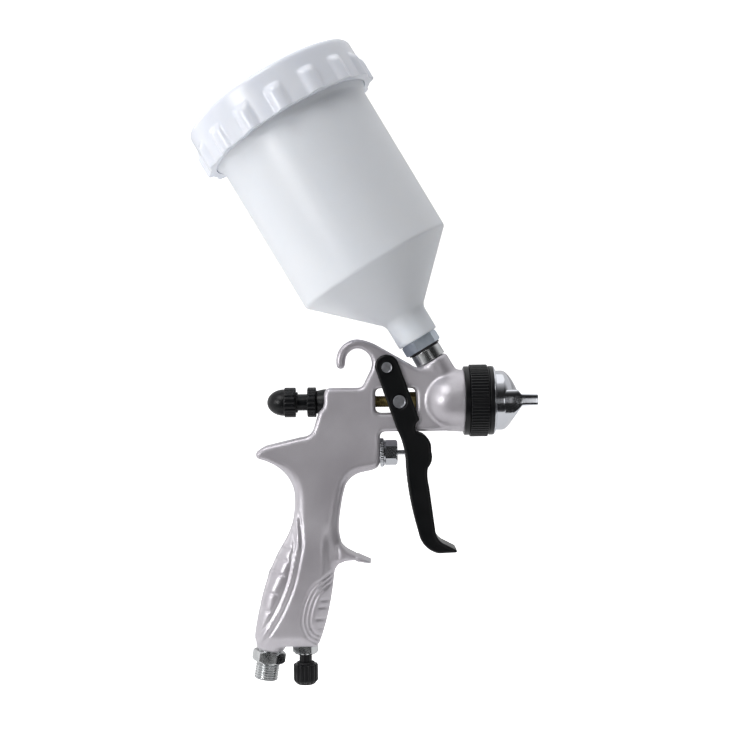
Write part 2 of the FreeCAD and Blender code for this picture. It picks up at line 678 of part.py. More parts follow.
# ---------------------------------------------------------------------------
# Trigger: two plates joined by a front web, its pivot and its push pin
# ---------------------------------------------------------------------------
trigger_outside = plate("trigger_outside", [
    ("-(pivot_back + trigger_eye_radius)", "pivot_height", "-trigger_eye_radius"),
    ("-(pivot_back - trigger_eye_radius + 0.3)", "pivot_height + 2.4"),
    ("-(pivot_back - 17.7)", "pivot_height - 28.7"),
    ("-(pivot_back - 15.5)", "pivot_height - 31.4"),
    ("-(pivot_back - 15.3)", "pivot_height - 35.0"),
    ("-(pivot_back - 19.8)", "pivot_height - 36.8", "-9"),
    ("-(pivot_back - 23.8)", "pivot_height - 46.0", "-9"),
    ("-(pivot_back - 21.9)", "pivot_height - 55.3", "26"),
    ("-(pivot_back - 22.5)", "pivot_height - 65.4"),
    ("-(pivot_back - 25.6)", "pivot_height - 89.2", "9"),
    ("-(pivot_back - 31.3)", "pivot_height - 97.2"),
    ("-(pivot_back - 37.9)", "pivot_height - 100.6", "-0.7"),
    ("-(pivot_back - 37.3)", "pivot_height - 101.7"),
    ("-(pivot_back - 27.3)", "pivot_height - 102.1", "-14"),
    ("-(pivot_back - 16.3)", "pivot_height - 90.6", "-160"),
    ("-(pivot_back - 10.1)", "pivot_height - 54.8", "45"),
    ("-(pivot_back - 4.9)", "pivot_height - 33.6"),
], "trigger_gap + 2 * trigger_plate")
trigger_inside = plate("trigger_inside", [
    ("-(pivot_back + 12)", "pivot_height + 12"),
    ("-(pivot_back - 30)", "pivot_height + 12"),
    ("-(pivot_back - 41.9)", "pivot_height - 37.4"),
    ("-(pivot_back - 20.3 + web_thickness)", "pivot_height - 37.4"),
    ("-(pivot_back - 24.1 + web_thickness)", "pivot_height - 46.0"),
    ("-(pivot_back - 22.3 + web_thickness)", "pivot_height - 55.3"),
    ("-(pivot_back - 22.8 + web_thickness)", "pivot_height - 65.4"),
    ("-(pivot_back - 25.5 + web_thickness)", "pivot_height - 89.2"),
    ("-(pivot_back - 27.5 + web_thickness)", "pivot_height - 94.8"),
    ("-(pivot_back - 11.9 + web_thickness)", "pivot_height - 102.8"),
    ("-(pivot_back + 12)", "pivot_height - 78.8"),
], "trigger_gap")
pivot_eye = rod("trigger_pivot_eye", "pivot_pin_radius - 0.6", "trigger_gap + 3 * trigger_plate",
                x="-pivot_back", y="trigger_gap / 2 + 1.5 * trigger_plate", z="pivot_height",
                lean="90", about=(1, 0, 0))
push_eye = rod("trigger_push_eye", "push_pin_radius", "trigger_gap + 3 * trigger_plate",
               x="-push_pin_back", y="trigger_gap / 2 + 1.5 * trigger_plate", z="0",
               lean="90", about=(1, 0, 0))
keep(cut("trigger", trigger_outside, trigger_inside, pivot_eye, push_eye))

pin_line = {"x": "-pivot_back", "z": "pivot_height", "lean": "90", "about": (1, 0, 0)}
pin_body = rod("trigger_pin_body", "pivot_pin_radius", "trigger_gap", y="trigger_gap / 2", **pin_line)
pin_ends = rod("trigger_pin_ends", "pivot_pin_radius - 0.65", "trigger_gap + 2 * trigger_plate + 0.4",
               y="trigger_gap / 2 + trigger_plate + 0.2", **pin_line)
keep(joined("trigger_pin", pin_body, pin_ends))
for side_name, start, stop in (("right", "-(trigger_gap / 2 + trigger_plate + 1)", 1),
                               ("left", "trigger_gap / 2 + trigger_plate + 1", -1)):
    cap_disc = rod("pivot_clip_" + side_name + "_disc", "pivot_pin_radius", "0.8", x="-pivot_back",
                   y=start, z="pivot_height", lean="%d" % (-90 * stop), about=(1, 0, 0))
    keep(cap_disc, "pivot_clip_" + side_name)
push_blank = rod("push_pin_blank", "push_pin_radius", "trigger_gap + 2 * trigger_plate + 1",
                 x="-push_pin_back", y="trigger_gap / 2 + trigger_plate + 0.5", z="0",
                 lean="90", about=(1, 0, 0))
push_slot = block("push_pin_slot", "4 * push_pin_radius", "2 * (needle_radius + running_gap)",
                  "2 * push_pin_radius", x="-(push_pin_back + 2 * push_pin_radius)",
                  y="-(needle_radius + running_gap)", z="-(needle_radius + running_gap)")
keep(cut("push_pin", push_blank, push_slot))

# ---------------------------------------------------------------------------
# Air valve: collar, hex housing, stem, plunger, seat and spring
# ---------------------------------------------------------------------------
VALVE = {"z": "-valve_height"}
keep(turned("valve_collar", [
    (VALVE_FACE, "valve_shank_radius"),
    (VALVE_FACE, "valve_collar_radius"),
    (COLLAR_FACE + " - 0.8", "valve_collar_radius"),
    (COLLAR_FACE, "valve_collar_radius - 1"),
    (COLLAR_FACE, "valve_shank_radius"),
], **VALVE))
valve_hex = hexagon("valve_hex", "valve_hex_across_corners", "valve_hex_length", x=COLLAR_FACE,
                    z="-valve_height", lean="90")
valve_shank = rod("valve_shank", "valve_shank_radius", "valve_shank_length + valve_collar_length",
                  x="-(block_front_back + valve_shank_length)", z="-valve_height", lean="90")
valve_bore = rod("valve_bore", "valve_stem_radius + pin_clearance", "40",
                 x="-(block_front_back + valve_shank_length + 1)", z="-valve_height", lean="90")
keep(cut("air_valve_nut", joined("valve_blank", valve_hex, valve_shank), valve_bore))
keep(turned("valve_seat", [
    ("-(block_front_back + valve_shank_length + 1.2)", "valve_stem_radius + 0.5"),
    ("-(block_front_back + valve_shank_length + 1.2)", "valve_shank_radius - pin_clearance"),
    ("-(block_front_back + valve_shank_length)", "valve_shank_radius - pin_clearance"),
    ("-(block_front_back + valve_shank_length)", "valve_stem_radius + 0.5"),
], **VALVE))
STEM_TIP = "-(pivot_back - 23.8 + web_thickness + 0.25)"
PLUNGER_FACE = "-(block_front_back + valve_shank_length + 1.3)"
keep(turned("valve_stem", [
    (STEM_TIP, "0"),
    (STEM_TIP, "valve_stem_radius - 0.3"),
    (STEM_TIP + " - 0.4", "valve_stem_radius"),
    (PLUNGER_FACE, "valve_stem_radius"),
    (PLUNGER_FACE, "0"),
], **VALVE))
keep(turned("valve_plunger", [
    (PLUNGER_FACE, "0"),
    (PLUNGER_FACE, "valve_plunger_radius"),
    (PLUNGER_FACE + " - valve_plunger_length", "valve_plunger_radius"),
    (PLUNGER_FACE + " - valve_plunger_length", "0"),
], **VALVE))
keep(coil("valve_spring", "valve_plunger_radius - 0.8", "valve_spring_wire", "valve_spring_length", 7,
          x=PLUNGER_FACE + " - valve_plunger_length - valve_spring_wire - 0.05", z="-valve_height", lean="-90"))

# ---------------------------------------------------------------------------
# Cup line: collar, gasket, hex adapter, cup, filter, seal, lid and vent
# ---------------------------------------------------------------------------
keep(turned("cup_collar", [
    ("inlet_bore_radius", "boss_length"),
    ("collar_radius", "boss_length"),
    ("collar_radius", COLLAR_TOP + " - 0.5"),
    ("collar_radius - 0.5", COLLAR_TOP),
    ("inlet_bore_radius", COLLAR_TOP),
], line="along_z", **CUP))
keep(turned("adapter_gasket", [
    ("inlet_bore_radius", COLLAR_TOP),
    ("collar_radius + 0.6", COLLAR_TOP),
    ("collar_radius + 0.6", ADAPTER_BASE),
    ("inlet_bore_radius", ADAPTER_BASE),
], line="along_z", **CUP))
adapter_hex = hexagon("adapter_hex", "adapter_across_corners", "adapter_hex_length",
                      x="-cup_line_back - " + ADAPTER_BASE + " * sin(cup_lean)",
                      z=ADAPTER_BASE + " * cos(cup_lean)", lean="-cup_lean")
adapter_shank = turned("adapter_shank", [
    ("0", ADAPTER_BASE + " + 1"),
    ("adapter_shank_radius", ADAPTER_BASE + " + 1"),
    ("adapter_shank_radius", CUP_BASE + " + adapter_shank_length"),
    ("0", CUP_BASE + " + adapter_shank_length"),
], line="along_z", **CUP)
adapter_bore = turned("adapter_bore", [
    ("0", ADAPTER_BASE + " - 1"),
    ("adapter_bore_radius", ADAPTER_BASE + " - 1"),
    ("adapter_bore_radius", CUP_BASE + " + adapter_shank_length + 1"),
    ("0", CUP_BASE + " + adapter_shank_length + 1"),
], line="along_z", **CUP)
keep(cut("cup_adapter", joined("adapter_blank", adapter_hex, adapter_shank), adapter_bore))
keep(turned("paint_cup", [
    ("adapter_shank_radius", CUP_BASE),
    ("cup_neck_radius", CUP_BASE),
    ("cup_neck_radius", CUP_BASE + " + cup_neck_length"),
    ("cup_radius", CUP_BASE + " + cup_neck_length + cup_cone_length"),
    ("cup_radius", LID_BASE + " - 3"),
    ("cup_rim_radius", LID_BASE + " + 0.5"),
    ("cup_rim_radius", CUP_TOP),
    ("cup_rim_radius - cup_wall", CUP_TOP),
    ("cup_rim_radius - cup_wall", LID_BASE + " + 1"),
    ("cup_radius - cup_wall", LID_BASE + " - 2.5"),
    ("cup_radius - cup_wall", CUP_BASE + " + cup_neck_length + cup_cone_length + 0.8"),
    ("cup_neck_radius - cup_wall", CUP_BASE + " + cup_neck_length + 0.8"),
    ("cup_neck_radius - cup_wall", CUP_BASE + " + adapter_shank_length + 1"),
    ("adapter_shank_radius", CUP_BASE + " + adapter_shank_length + 1"),
], line="along_z", **CUP))
keep(turned("cup_filter", [
    ("0", CUP_BASE + " + adapter_shank_length + 1"),
    ("filter_radius + 2.4", CUP_BASE + " + adapter_shank_length + 1"),
    ("filter_radius + 2.4", CUP_BASE + " + adapter_shank_length + 1.7"),
    ("filter_radius", CUP_BASE + " + adapter_shank_length + 1.7"),
    ("filter_radius - 1.5", CUP_BASE + " + adapter_shank_length + filter_length"),
    ("0", CUP_BASE + " + adapter_shank_length + filter_length"),
], line="along_z", **CUP))
keep(turned("lid_seal", [
    ("0", CUP_TOP),
    ("cup_rim_radius", CUP_TOP),
    ("cup_rim_radius", CUP_TOP + " + seal_thickness"),
    ("0", CUP_TOP + " + seal_thickness"),
], line="along_z", **CUP))

lid = turned("cup_lid", [
    ("0", LID_BASE),
    ("lid_radius", LID_BASE),
    ("lid_radius", LID_TOP + " - 3.2", "3.2"),
    ("lid_radius - 3.2", LID_TOP),
    ("0", LID_TOP),
], line="along_z", **CUP)
lug_sketch = new_sketch(lid, "lid_lug_outline", "XY_Plane")
lug_sketch.AttachmentOffset = FreeCAD.Placement(FreeCAD.Vector(0, 0, number(LID_BASE)), FreeCAD.Rotation())
lug_sketch.setExpression("AttachmentOffset.Base.z", bind(LID_BASE))
lug = lug_sketch.addGeometry(Part.Circle(FreeCAD.Vector(number("lid_radius"), 0, 0), FreeCAD.Vector(0, 0, 1),
                                         number("lid_lug_radius")), False)
lug_sketch.addConstraint(Sketcher.Constraint("PointOnObject", lug, 3, -1))
spot = lug_sketch.addConstraint(Sketcher.Constraint("DistanceX", -1, 1, lug, 3, 40.0))
lug_sketch.setExpression("Constraints[%d]" % spot, bind("lid_radius + lid_lug_reach - lid_lug_radius"))
size = lug_sketch.addConstraint(Sketcher.Constraint("Radius", lug, number("lid_lug_radius")))
lug_sketch.setExpression("Constraints[%d]" % size, bind("lid_lug_radius"))
lug_pad = lid.newObject("PartDesign::Pad", "lid_lug")
lug_pad.Profile = lug_sketch
lug_pad.setExpression("Length", bind("lid_lug_height"))
doc.recompute()
lugs = lid.newObject("PartDesign::PolarPattern", "lid_lugs_round")
lugs.Originals = [lug_pad]
lugs.Axis = (lug_sketch, ["N_Axis"])
lugs.Angle = 360
lugs.setExpression("Occurrences", bind("lid_lugs"))
lid.Tip = lugs
lid_hollow = turned("lid_hollow", [
    ("0", LID_BASE + " - 1"),
    ("cup_rim_radius + running_gap", LID_BASE + " - 1"),
    ("cup_rim_radius + running_gap", CUP_TOP + " + seal_thickness"),
    ("0", CUP_TOP + " + seal_thickness"),
], line="along_z", **CUP)
vent_hole = turned("lid_vent_hole", [
    ("0", CUP_TOP + " + seal_thickness - 1"),
    ("3", CUP_TOP + " + seal_thickness - 1"),
    ("3", LID_TOP + " + 1"),
    ("0", LID_TOP + " + 1"),
], line="along_z", **CUP)
lid.Label = "cup_lid_blank"
lid_cut = cut("cup_lid_finished", lid, lid_hollow, vent_hole)
keep(lid_cut, "cup_lid")
keep(turned("drip_vent", [
    ("0", CUP_TOP + " + seal_thickness"),
    ("3", CUP_TOP + " + seal_thickness"),
    ("3", LID_TOP),
    ("5", LID_TOP),
    ("5", LID_TOP + " + 1.4"),
    ("0", LID_TOP + " + 1.4"),
], line="along_z", **CUP))

# ---------------------------------------------------------------------------
# Air inlet at the foot of the grip
# ---------------------------------------------------------------------------
INLET_STEP = "(inlet_boss_length + inlet_hex_length)"
inlet_hex = hexagon("inlet_hex", "inlet_hex_across_corners", "inlet_hex_length",
                    x="-inlet_back - inlet_boss_length * sin(inlet_lean)",
                    z="-grip_length - inlet_boss_length * cos(inlet_lean)", lean="180 + inlet_lean")
inlet_nipple = turned("inlet_nipple", [
    ("inlet_bore_radius_air", "-7"),
    ("inlet_thread_radius", "-7"),
    ("inlet_thread_radius", INLET_STEP + " + inlet_thread_length - 1"),
    ("inlet_thread_radius - 1", INLET_STEP + " + inlet_thread_length"),
    ("inlet_bore_radius_air", INLET_STEP + " + inlet_thread_length"),
], line="along_z", **INLET)
inlet_bore = turned("inlet_bore", [
    ("0", "-8"),
    ("inlet_bore_radius_air", "-8"),
    ("inlet_bore_radius_air", INLET_STEP + " + inlet_thread_length + 1"),
    ("0", INLET_STEP + " + inlet_thread_length + 1"),
], line="along_z", **INLET)
keep(cut("air_inlet", joined("inlet_blank", inlet_hex, inlet_nipple), inlet_bore))

# ---------------------------------------------------------------------------
# Air pressure valve at the foot of the grip
# ---------------------------------------------------------------------------
meter_hex = hexagon("meter_hex", "meter_hex_across_corners", "meter_hex_length", **METER)
meter_shank = rod("meter_shank", "meter_stem_radius + 1", "11", x="-meter_back", z="-grip_length")
meter_bore = rod("meter_bore", "meter_stem_radius + pin_clearance", "40", x="-meter_back",
                 z="-grip_length - 20")
keep(cut("meter_body", joined("meter_blank", meter_hex, meter_shank), meter_bore))
keep(turned("meter_stem", [
    ("0", "-9"),
    ("1.2", "-9"),
    ("meter_stem_radius", "-5"),
    ("meter_stem_radius", "meter_hex_length + meter_stem_length + 4"),
    ("0", "meter_hex_length + meter_stem_length + 4"),
], line="along_z", **METER))
METER_FACE = "(meter_hex_length + meter_stem_length)"
keep(turned("meter_knob", [
    ("meter_stem_radius", METER_FACE),
    ("meter_knob_radius - 0.7", METER_FACE),
    ("meter_knob_radius", METER_FACE + " + 0.7"),
    ("meter_knob_radius", METER_FACE + " + meter_knob_length - 2.4", "2.4"),
    ("meter_knob_radius - 2.4", METER_FACE + " + meter_knob_length"),
    ("0", METER_FACE + " + meter_knob_length"),
    ("0", METER_FACE + " + 4"),
    ("meter_stem_radius", METER_FACE + " + 4"),
], line="along_z", **METER))
keep(turned("meter_seal", [
    ("meter_stem_radius + pin_clearance", METER_FACE + " - 0.9"),
    ("meter_stem_radius + 1.4", METER_FACE + " - 0.9"),
    ("meter_stem_radius + 1.4", METER_FACE),
    ("meter_stem_radius + pin_clearance", METER_FACE),
], line="along_z", **METER))

# ---------------------------------------------------------------------------
# Fan width valve on the left side
# ---------------------------------------------------------------------------
FAN = {"x": "-fan_back", "y": "body_thickness / 2", "z": "-fan_height", "lean": "-90", "about": (1, 0, 0)}
keep(turned("fan_valve_body", [
    ("fan_body_radius - 4 + pin_clearance", "-6"),
    ("fan_body_radius - 2", "-6"),
    ("fan_body_radius - 2", "0"),
    ("fan_body_radius", "0"),
    ("fan_body_radius", "fan_body_length"),
    ("fan_body_radius - 4 + pin_clearance", "fan_body_length"),
], line="along_z", **FAN))
keep(turned("fan_valve_stem", [
    ("0", "-7"),
    ("fan_body_radius - 4", "-5"),
    ("fan_body_radius - 4", "fan_body_length + 5"),
    ("0", "fan_body_length + 5"),
], line="along_z", **FAN))
keep(turned("fan_valve_knob", [
    ("fan_body_radius - 4", "fan_body_length + running_gap"),
    ("fan_knob_radius", "fan_body_length + running_gap"),
    ("fan_knob_radius", "fan_body_length + fan_knob_length - 1.5", "1.5"),
    ("fan_knob_radius - 1.5", "fan_body_length + fan_knob_length"),
    ("0", "fan_body_length + fan_knob_length"),
    ("0", "fan_body_length + 5"),
    ("fan_body_radius - 4", "fan_body_length + 5"),
], line="along_z", **FAN))

# ---------------------------------------------------------------------------
# Check every object, then write each piece
# ---------------------------------------------------------------------------
doc.recompute()
for item in doc.Objects:
    if "Invalid" in item.State or "Error" in item.State:
        raise RuntimeError("%s failed: %s" % (item.Name, item.State))
for piece in nodes:
    if piece.Shape.isNull() or not piece.Shape.isValid():
        raise RuntimeError("%s has no valid shape" % piece.Label)

os.makedirs("parts", exist_ok=True)
for piece in nodes:
    piece.Shape.exportStep("parts/%s.step" % piece.Label)
    print("%-20s %2d solids %10.1f mm3" % (piece.Label, len(piece.Shape.Solids), piece.Shape.Volume))
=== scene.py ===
import json
import math

import bmesh
import bpy
import numpy as np
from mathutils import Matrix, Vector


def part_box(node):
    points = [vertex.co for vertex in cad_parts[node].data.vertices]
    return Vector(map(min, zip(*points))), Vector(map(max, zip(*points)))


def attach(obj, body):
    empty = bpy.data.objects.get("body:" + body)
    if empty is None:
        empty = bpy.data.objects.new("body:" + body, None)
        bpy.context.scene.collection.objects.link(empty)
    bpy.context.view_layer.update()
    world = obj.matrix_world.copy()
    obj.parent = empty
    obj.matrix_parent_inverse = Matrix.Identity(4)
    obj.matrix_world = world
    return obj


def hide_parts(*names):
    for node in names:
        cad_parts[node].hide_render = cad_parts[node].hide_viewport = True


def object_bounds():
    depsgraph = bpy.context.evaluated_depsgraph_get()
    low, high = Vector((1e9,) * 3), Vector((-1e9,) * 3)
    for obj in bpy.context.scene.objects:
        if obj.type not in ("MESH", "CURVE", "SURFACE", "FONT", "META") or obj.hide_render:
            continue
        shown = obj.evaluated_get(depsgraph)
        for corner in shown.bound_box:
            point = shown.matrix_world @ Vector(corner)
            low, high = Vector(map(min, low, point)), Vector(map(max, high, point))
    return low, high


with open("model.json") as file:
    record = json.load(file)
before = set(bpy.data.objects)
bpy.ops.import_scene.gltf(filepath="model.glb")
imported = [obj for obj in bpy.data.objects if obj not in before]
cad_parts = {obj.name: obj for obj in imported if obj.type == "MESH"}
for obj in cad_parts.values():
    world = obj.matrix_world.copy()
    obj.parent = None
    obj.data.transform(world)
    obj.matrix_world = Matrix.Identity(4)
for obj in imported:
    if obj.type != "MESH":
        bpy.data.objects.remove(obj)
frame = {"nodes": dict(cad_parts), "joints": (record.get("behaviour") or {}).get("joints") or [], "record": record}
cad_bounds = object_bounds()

import openvdb

MM = 0.001

# ----------------------------------------
# Studio table: a pale floor that curves up behind the gun, soft boxes and the camera.
# The floor is painted board. The room is bright above and behind, and dimmer on the
# camera's side, so that metal has something to reflect.
# ----------------------------------------
def linear(code):
    """An sRGB hex colour as linear red, green, blue and full alpha."""
    levels = np.array([int(code[at:at + 2], 16) for at in (1, 3, 5)]) / 255.0
    lit = np.where(levels <= 0.04045, levels / 12.92, ((levels + 0.055) / 1.055) ** 2.4)
    return (*lit.tolist(), 1.0)


def add(tree, kind, feeds=None, **settings):
    """Add a node: settings are its own properties, feeds are values or sockets for its inputs."""
    made = tree.nodes.new(kind)
    for key, value in settings.items():
        setattr(made, key, value)
    for key, value in (feeds or {}).items():
        if isinstance(value, bpy.types.NodeSocket):
            tree.links.new(value, made.inputs[key])
        else:
            made.inputs[key].default_value = value
    return made


def finish_named(name, **sockets):
    """A new material with one Principled shader, whose sockets are set by name. Returns both."""
    made = bpy.data.materials.new(name)
    made.use_nodes = True
    shader = made.node_tree.nodes["Principled BSDF"]
    for key, value in sockets.items():
        shader.inputs[key.replace("_", " ")].default_value = value
    return made, shader


FLOOR_DROP = 0.05
FLOOR_FRONT = -0.22
FLOOR_BACK = 1.5
FLOOR_BEND = 1.5
FLOOR_HALF = 4.0
FLOOR_STEPS = 40
floor_level = cad_bounds[0][2] - FLOOR_DROP
run = np.linspace(0, 1, FLOOR_STEPS)
bend = np.clip((run - 0.5) / 0.5, 0, 1) * math.pi / 2
level_run = FLOOR_FRONT + run * 2 * (FLOOR_BACK - FLOOR_FRONT)
sweep = np.where(run < 0.5, level_run, FLOOR_BACK + FLOOR_BEND * np.sin(bend))
climb = np.where(run < 0.5, 0.0, FLOOR_BEND * (1 - np.cos(bend)))
sideways = np.array([-FLOOR_HALF, FLOOR_HALF])
board = np.broadcast_arrays(sideways[None, :], sweep[:, None], floor_level + climb[:, None])
floor_mesh = bpy.data.meshes.new("floor")
spots = np.arange(FLOOR_STEPS - 1)[:, None] * 2 + np.array([0, 1, 3, 2])
floor_mesh.from_pydata(np.stack(board, -1).reshape(-1, 3).tolist(), [], spots.tolist())
floor_mesh.shade_smooth()
floor = bpy.data.objects.new("floor", floor_mesh)
bpy.context.scene.collection.objects.link(floor)
painted_board, board_shader = finish_named(
    "painted_board", Base_Color=linear("#F7F7F7"), Roughness=0.8, Emission_Color=linear("#FDFDFE"))
tree = painted_board.node_tree
seen = add(tree, "ShaderNodeLightPath").outputs["Is Camera Ray"]
lift = add(tree, "ShaderNodeMapRange", {"Value": seen, "To Min": 0.1, "To Max": 0.85})
tree.links.new(lift.outputs["Result"], board_shader.inputs["Emission Strength"])
floor_mesh.materials.append(painted_board)

DARK_SIDE = (0.42, -0.90, -0.10)
room = bpy.data.worlds.new("studio")
bpy.context.scene.world = room
room.use_nodes = True
sky = room.node_tree
sky.nodes.clear()
facing = add(sky, "ShaderNodeTexCoord").outputs["Generated"]
height = add(sky, "ShaderNodeSeparateXYZ", {"Vector": facing})
lift = add(sky, "ShaderNodeMapRange", {
    "Value": height.outputs["Z"], "From Min": -0.6, "From Max": 0.7, "To Min": 0.7, "To Max": 0.9},
    interpolation_type="SMOOTHSTEP")
towards = add(sky, "ShaderNodeVectorMath", {0: facing, 1: DARK_SIDE}, operation="DOT_PRODUCT")
dim = add(sky, "ShaderNodeMapRange", {
    "Value": towards.outputs["Value"], "From Min": 0.1, "From Max": 0.8, "To Min": 0.95, "To Max": 0.03},
    interpolation_type="SMOOTHSTEP")
both = add(sky, "ShaderNodeMath", {0: lift.outputs["Result"], 1: dim.outputs["Result"]},
           operation="MULTIPLY")
seen = add(sky, "ShaderNodeLightPath").outputs["Is Camera Ray"]
level = add(sky, "ShaderNodeMix", {0: seen, 2: both.outputs[0], 3: 1.0})
glow = add(sky, "ShaderNodeBackground", {"Color": linear("#FDFDFE"), "Strength": level.outputs[0]})
add(sky, "ShaderNodeOutputWorld", {"Surface": glow.outputs[0]})
middle = (np.array(cad_bounds[0]) + np.array(cad_bounds[1])) / 2


def soft_box(name, spot, width, power):
    """A square soft box at spot that faces the gun's middle; sizes are metres and watts."""
    lamp = bpy.data.lights.new(name, "AREA")
    lamp.size = width
    lamp.energy = power
    made = bpy.data.objects.new(name, lamp)
    made.location = spot
    made.rotation_euler = (Vector(middle) - Vector(spot)).to_track_quat("-Z", "Y").to_euler()
    bpy.context.scene.collection.objects.link(made)


soft_box("window_box", (-0.78, -0.76, 0.09), 0.3, 3.0)
soft_box("key_box", middle + np.array([-0.45, -0.75, 0.80]), 0.5, 4.0)
soft_box("top_box", middle + np.array([0.10, 0.10, 1.10]), 0.9, 1.8)
soft_box("low_box", middle + np.array([0.35, -0.95, -0.05]), 0.3, 0.5)
soft_box("rim_box", middle + np.array([-0.90, 0.35, 0.15]), 0.5, 0.8)

VIEW_TILT = math.radians(0.64)
VIEW_SPOT = (-88.4 * MM, -694 * MM, 14.75 * MM)
LENS = 60
SENSOR = 36
eye = bpy.data.cameras.new("view")
eye.lens = LENS
eye.sensor_width = SENSOR
eye.clip_start = 10 * MM
camera = bpy.data.objects.new("view", eye)
camera.location = VIEW_SPOT
camera.rotation_euler = (math.pi / 2, VIEW_TILT, 0)
bpy.context.scene.collection.objects.link(camera)
bpy.context.scene.camera = camera
bpy.context.scene.view_settings.view_transform = "Standard"

# ----------------------------------------
# Gun body: aluminium die casting with the hook, tang, spur, grip and head in one, sprayed with
# silver enamel. Its edges are rounded over, its inner corners are filleted, and the grip has
# cast grooves and ribs on both sides.
# ----------------------------------------
def node_mesh(node):
    """A CAD node's points in millimetres and its triangles."""
    mesh = frame["nodes"][node].data
    mesh.calc_loop_triangles()
    points = np.empty(len(mesh.vertices) * 3, np.float32)
    mesh.vertices.foreach_get("co", points)
    corners = np.empty(len(mesh.loop_triangles) * 3, np.int32)
    mesh.loop_triangles.foreach_get("vertices", corners)
    return points.reshape(-1, 3) / MM, corners.reshape(-1, 3)


def depth_grid(points, triangles, quads, pitch, reach):
    """Distance from a closed surface, negative inside it, on a grid of that pitch out to that reach."""
    scale = openvdb.createLinearTransform(voxelSize=pitch)
    return openvdb.FloatGrid.createLevelSetFromPolygons(
        points, triangles=triangles, quads=quads, transform=scale, halfWidth=reach / pitch)


def rounded_over(start, pitch, fillet, edge):
    """Distance from a casting: grown by fillet, shrunk by fillet and edge. Its surface lies edge further
    out again: growing and shrinking fills inner corners, and shrinking and growing rounds outer edges."""
    reach = fillet + edge + 3 * pitch
    points, triangles, quads = start.convertToPolygons(isovalue=fillet)
    grown = depth_grid(points, triangles, quads, pitch, reach)
    points, triangles, quads = grown.convertToPolygons(isovalue=-(fillet + edge))
    return depth_grid(points, triangles, quads, pitch, reach)


def sampled(grid, low, shape):
    """A distance grid as an array."""
    values = np.empty(shape, np.float32)
    grid.copyToArray(values, ijk=tuple(int(at) for at in low))
    return values


def grid_of(values, low, pitch, reach):
    """An array of distances as a grid, with the reach everywhere outside it."""
    grid = openvdb.FloatGrid(reach)
    grid.transform = openvdb.createLinearTransform(voxelSize=pitch)
    grid.copyFromArray(values, ijk=tuple(int(at) for at in low))
    return grid


def close_outwards(mesh):
    """Merge the points that meet at poles and seams, then turn the mesh outwards by its signed volume."""
    work = bmesh.new()
    work.from_mesh(mesh)
    bmesh.ops.remove_doubles(work, verts=work.verts, dist=1e-3 * MM)
    bmesh.ops.dissolve_degenerate(work, edges=work.edges, dist=1e-4 * MM)
    if work.calc_volume(signed=True) < 0:
        bmesh.ops.reverse_faces(work, faces=work.faces)
    work.to_mesh(mesh)
    work.free()


def cast_piece(name, grid, level, rounds):
    """The closed surface where a distance grid is at a level, evened by rounds of smoothing."""
    points, triangles, quads = grid.convertToPolygons(isovalue=level)
    mesh = bpy.data.meshes.new(name)
    mesh.from_pydata((points * MM).tolist(), [], triangles.tolist() + quads.tolist())
    close_outwards(mesh)
    mesh.shade_smooth()
    made = bpy.data.objects.new(name, mesh)
    bpy.context.scene.collection.objects.link(made)
    evened = made.modifiers.new("fettled", "SMOOTH")
    evened.factor = 0.5
    evened.iterations = rounds
    return made


def settle(piece, material, body, slot, *nodes):
    """Give a finished piece its material and its body, and hide the CAD nodes it stands for. The slot is not used.
    """
    piece.data.materials.append(material)
    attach(piece, body)
    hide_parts(*nodes)


def rod_distance(place, start, end, radius):
    """Distance from a flat-ended round rod, from its distance along and away from its line."""
    start, end = np.array(start, float), np.array(end, float)
    length = np.linalg.norm(end - start)
    way = (end - start) / length
    along = sum((place[axis] - start[axis]) * way[axis] for axis in range(3))
    square = sum((place[axis] - start[axis]) ** 2 for axis in range(3)) - along ** 2
    return np.maximum(np.sqrt(np.maximum(square, 0)) - radius, np.abs(along - length / 2) - length / 2)


def curve_through(corners, steps=16):
    """A smooth curve through its corners: each stretch is the cubic whose slopes join the neighbours."""
    knots = np.array(corners, float)
    padded = np.vstack([2 * knots[0] - knots[1], knots, 2 * knots[-1] - knots[-2]])
    t = np.linspace(0, 1, steps, endpoint=False)[:, None]
    before, first, second, after = (padded[at:len(padded) - 3 + at, None] for at in range(4))
    cubic = 2 * first + (second - before) * t + (2 * before - 5 * first + 4 * second - after) * t ** 2
    cubic = cubic + (3 * first - before - 3 * second + after) * t ** 3
    return np.vstack([(cubic / 2).reshape(-1, 2), knots[-1]])


def beside_curve(curve, x, z):
    """Distance from a curve in the side view, positive on the side towards the nozzle."""
    start, way = curve[:-1], np.diff(curve, axis=0)
    spot = np.stack([x, z], -1)[..., None, :]
    share = np.clip(((spot - start) * way).sum(-1) / (way ** 2).sum(-1), 0, 1)
    near = np.linalg.norm(spot - start - share[..., None] * way, axis=-1)
    order = np.argsort(curve[:, 1])
    front = np.sign(x - np.interp(z, curve[order, 1], curve[order, 0]))
    return near.min(-1) * front


def ridge(distance, width):
    """A smooth bump, 1 on the line and near 0 one width away."""
    return np.exp(-(distance / width) ** 2 * 3)


def smooth_step(value, low, high):
    """0 below low, 1 above high, with no corner between them."""
    share = np.clip((value - low) / (high - low), 0, 1)
    return share * share * (3 - 2 * share)


CAST_PITCH = 0.7
CAST_FILLET = 1.4
CAST_EDGE = 1.6
GRIP_EDGE = 5.2
CAST_REACH = CAST_FILLET + 3 * CAST_PITCH
# Where the grip's soft rounding fades in below the spray line, and the rear of the head that it spares.
HAND_DEPTHS = (24, 42)
REAR_BACKS = (136, 148)
REAR_HEIGHTS = (-60, -48)
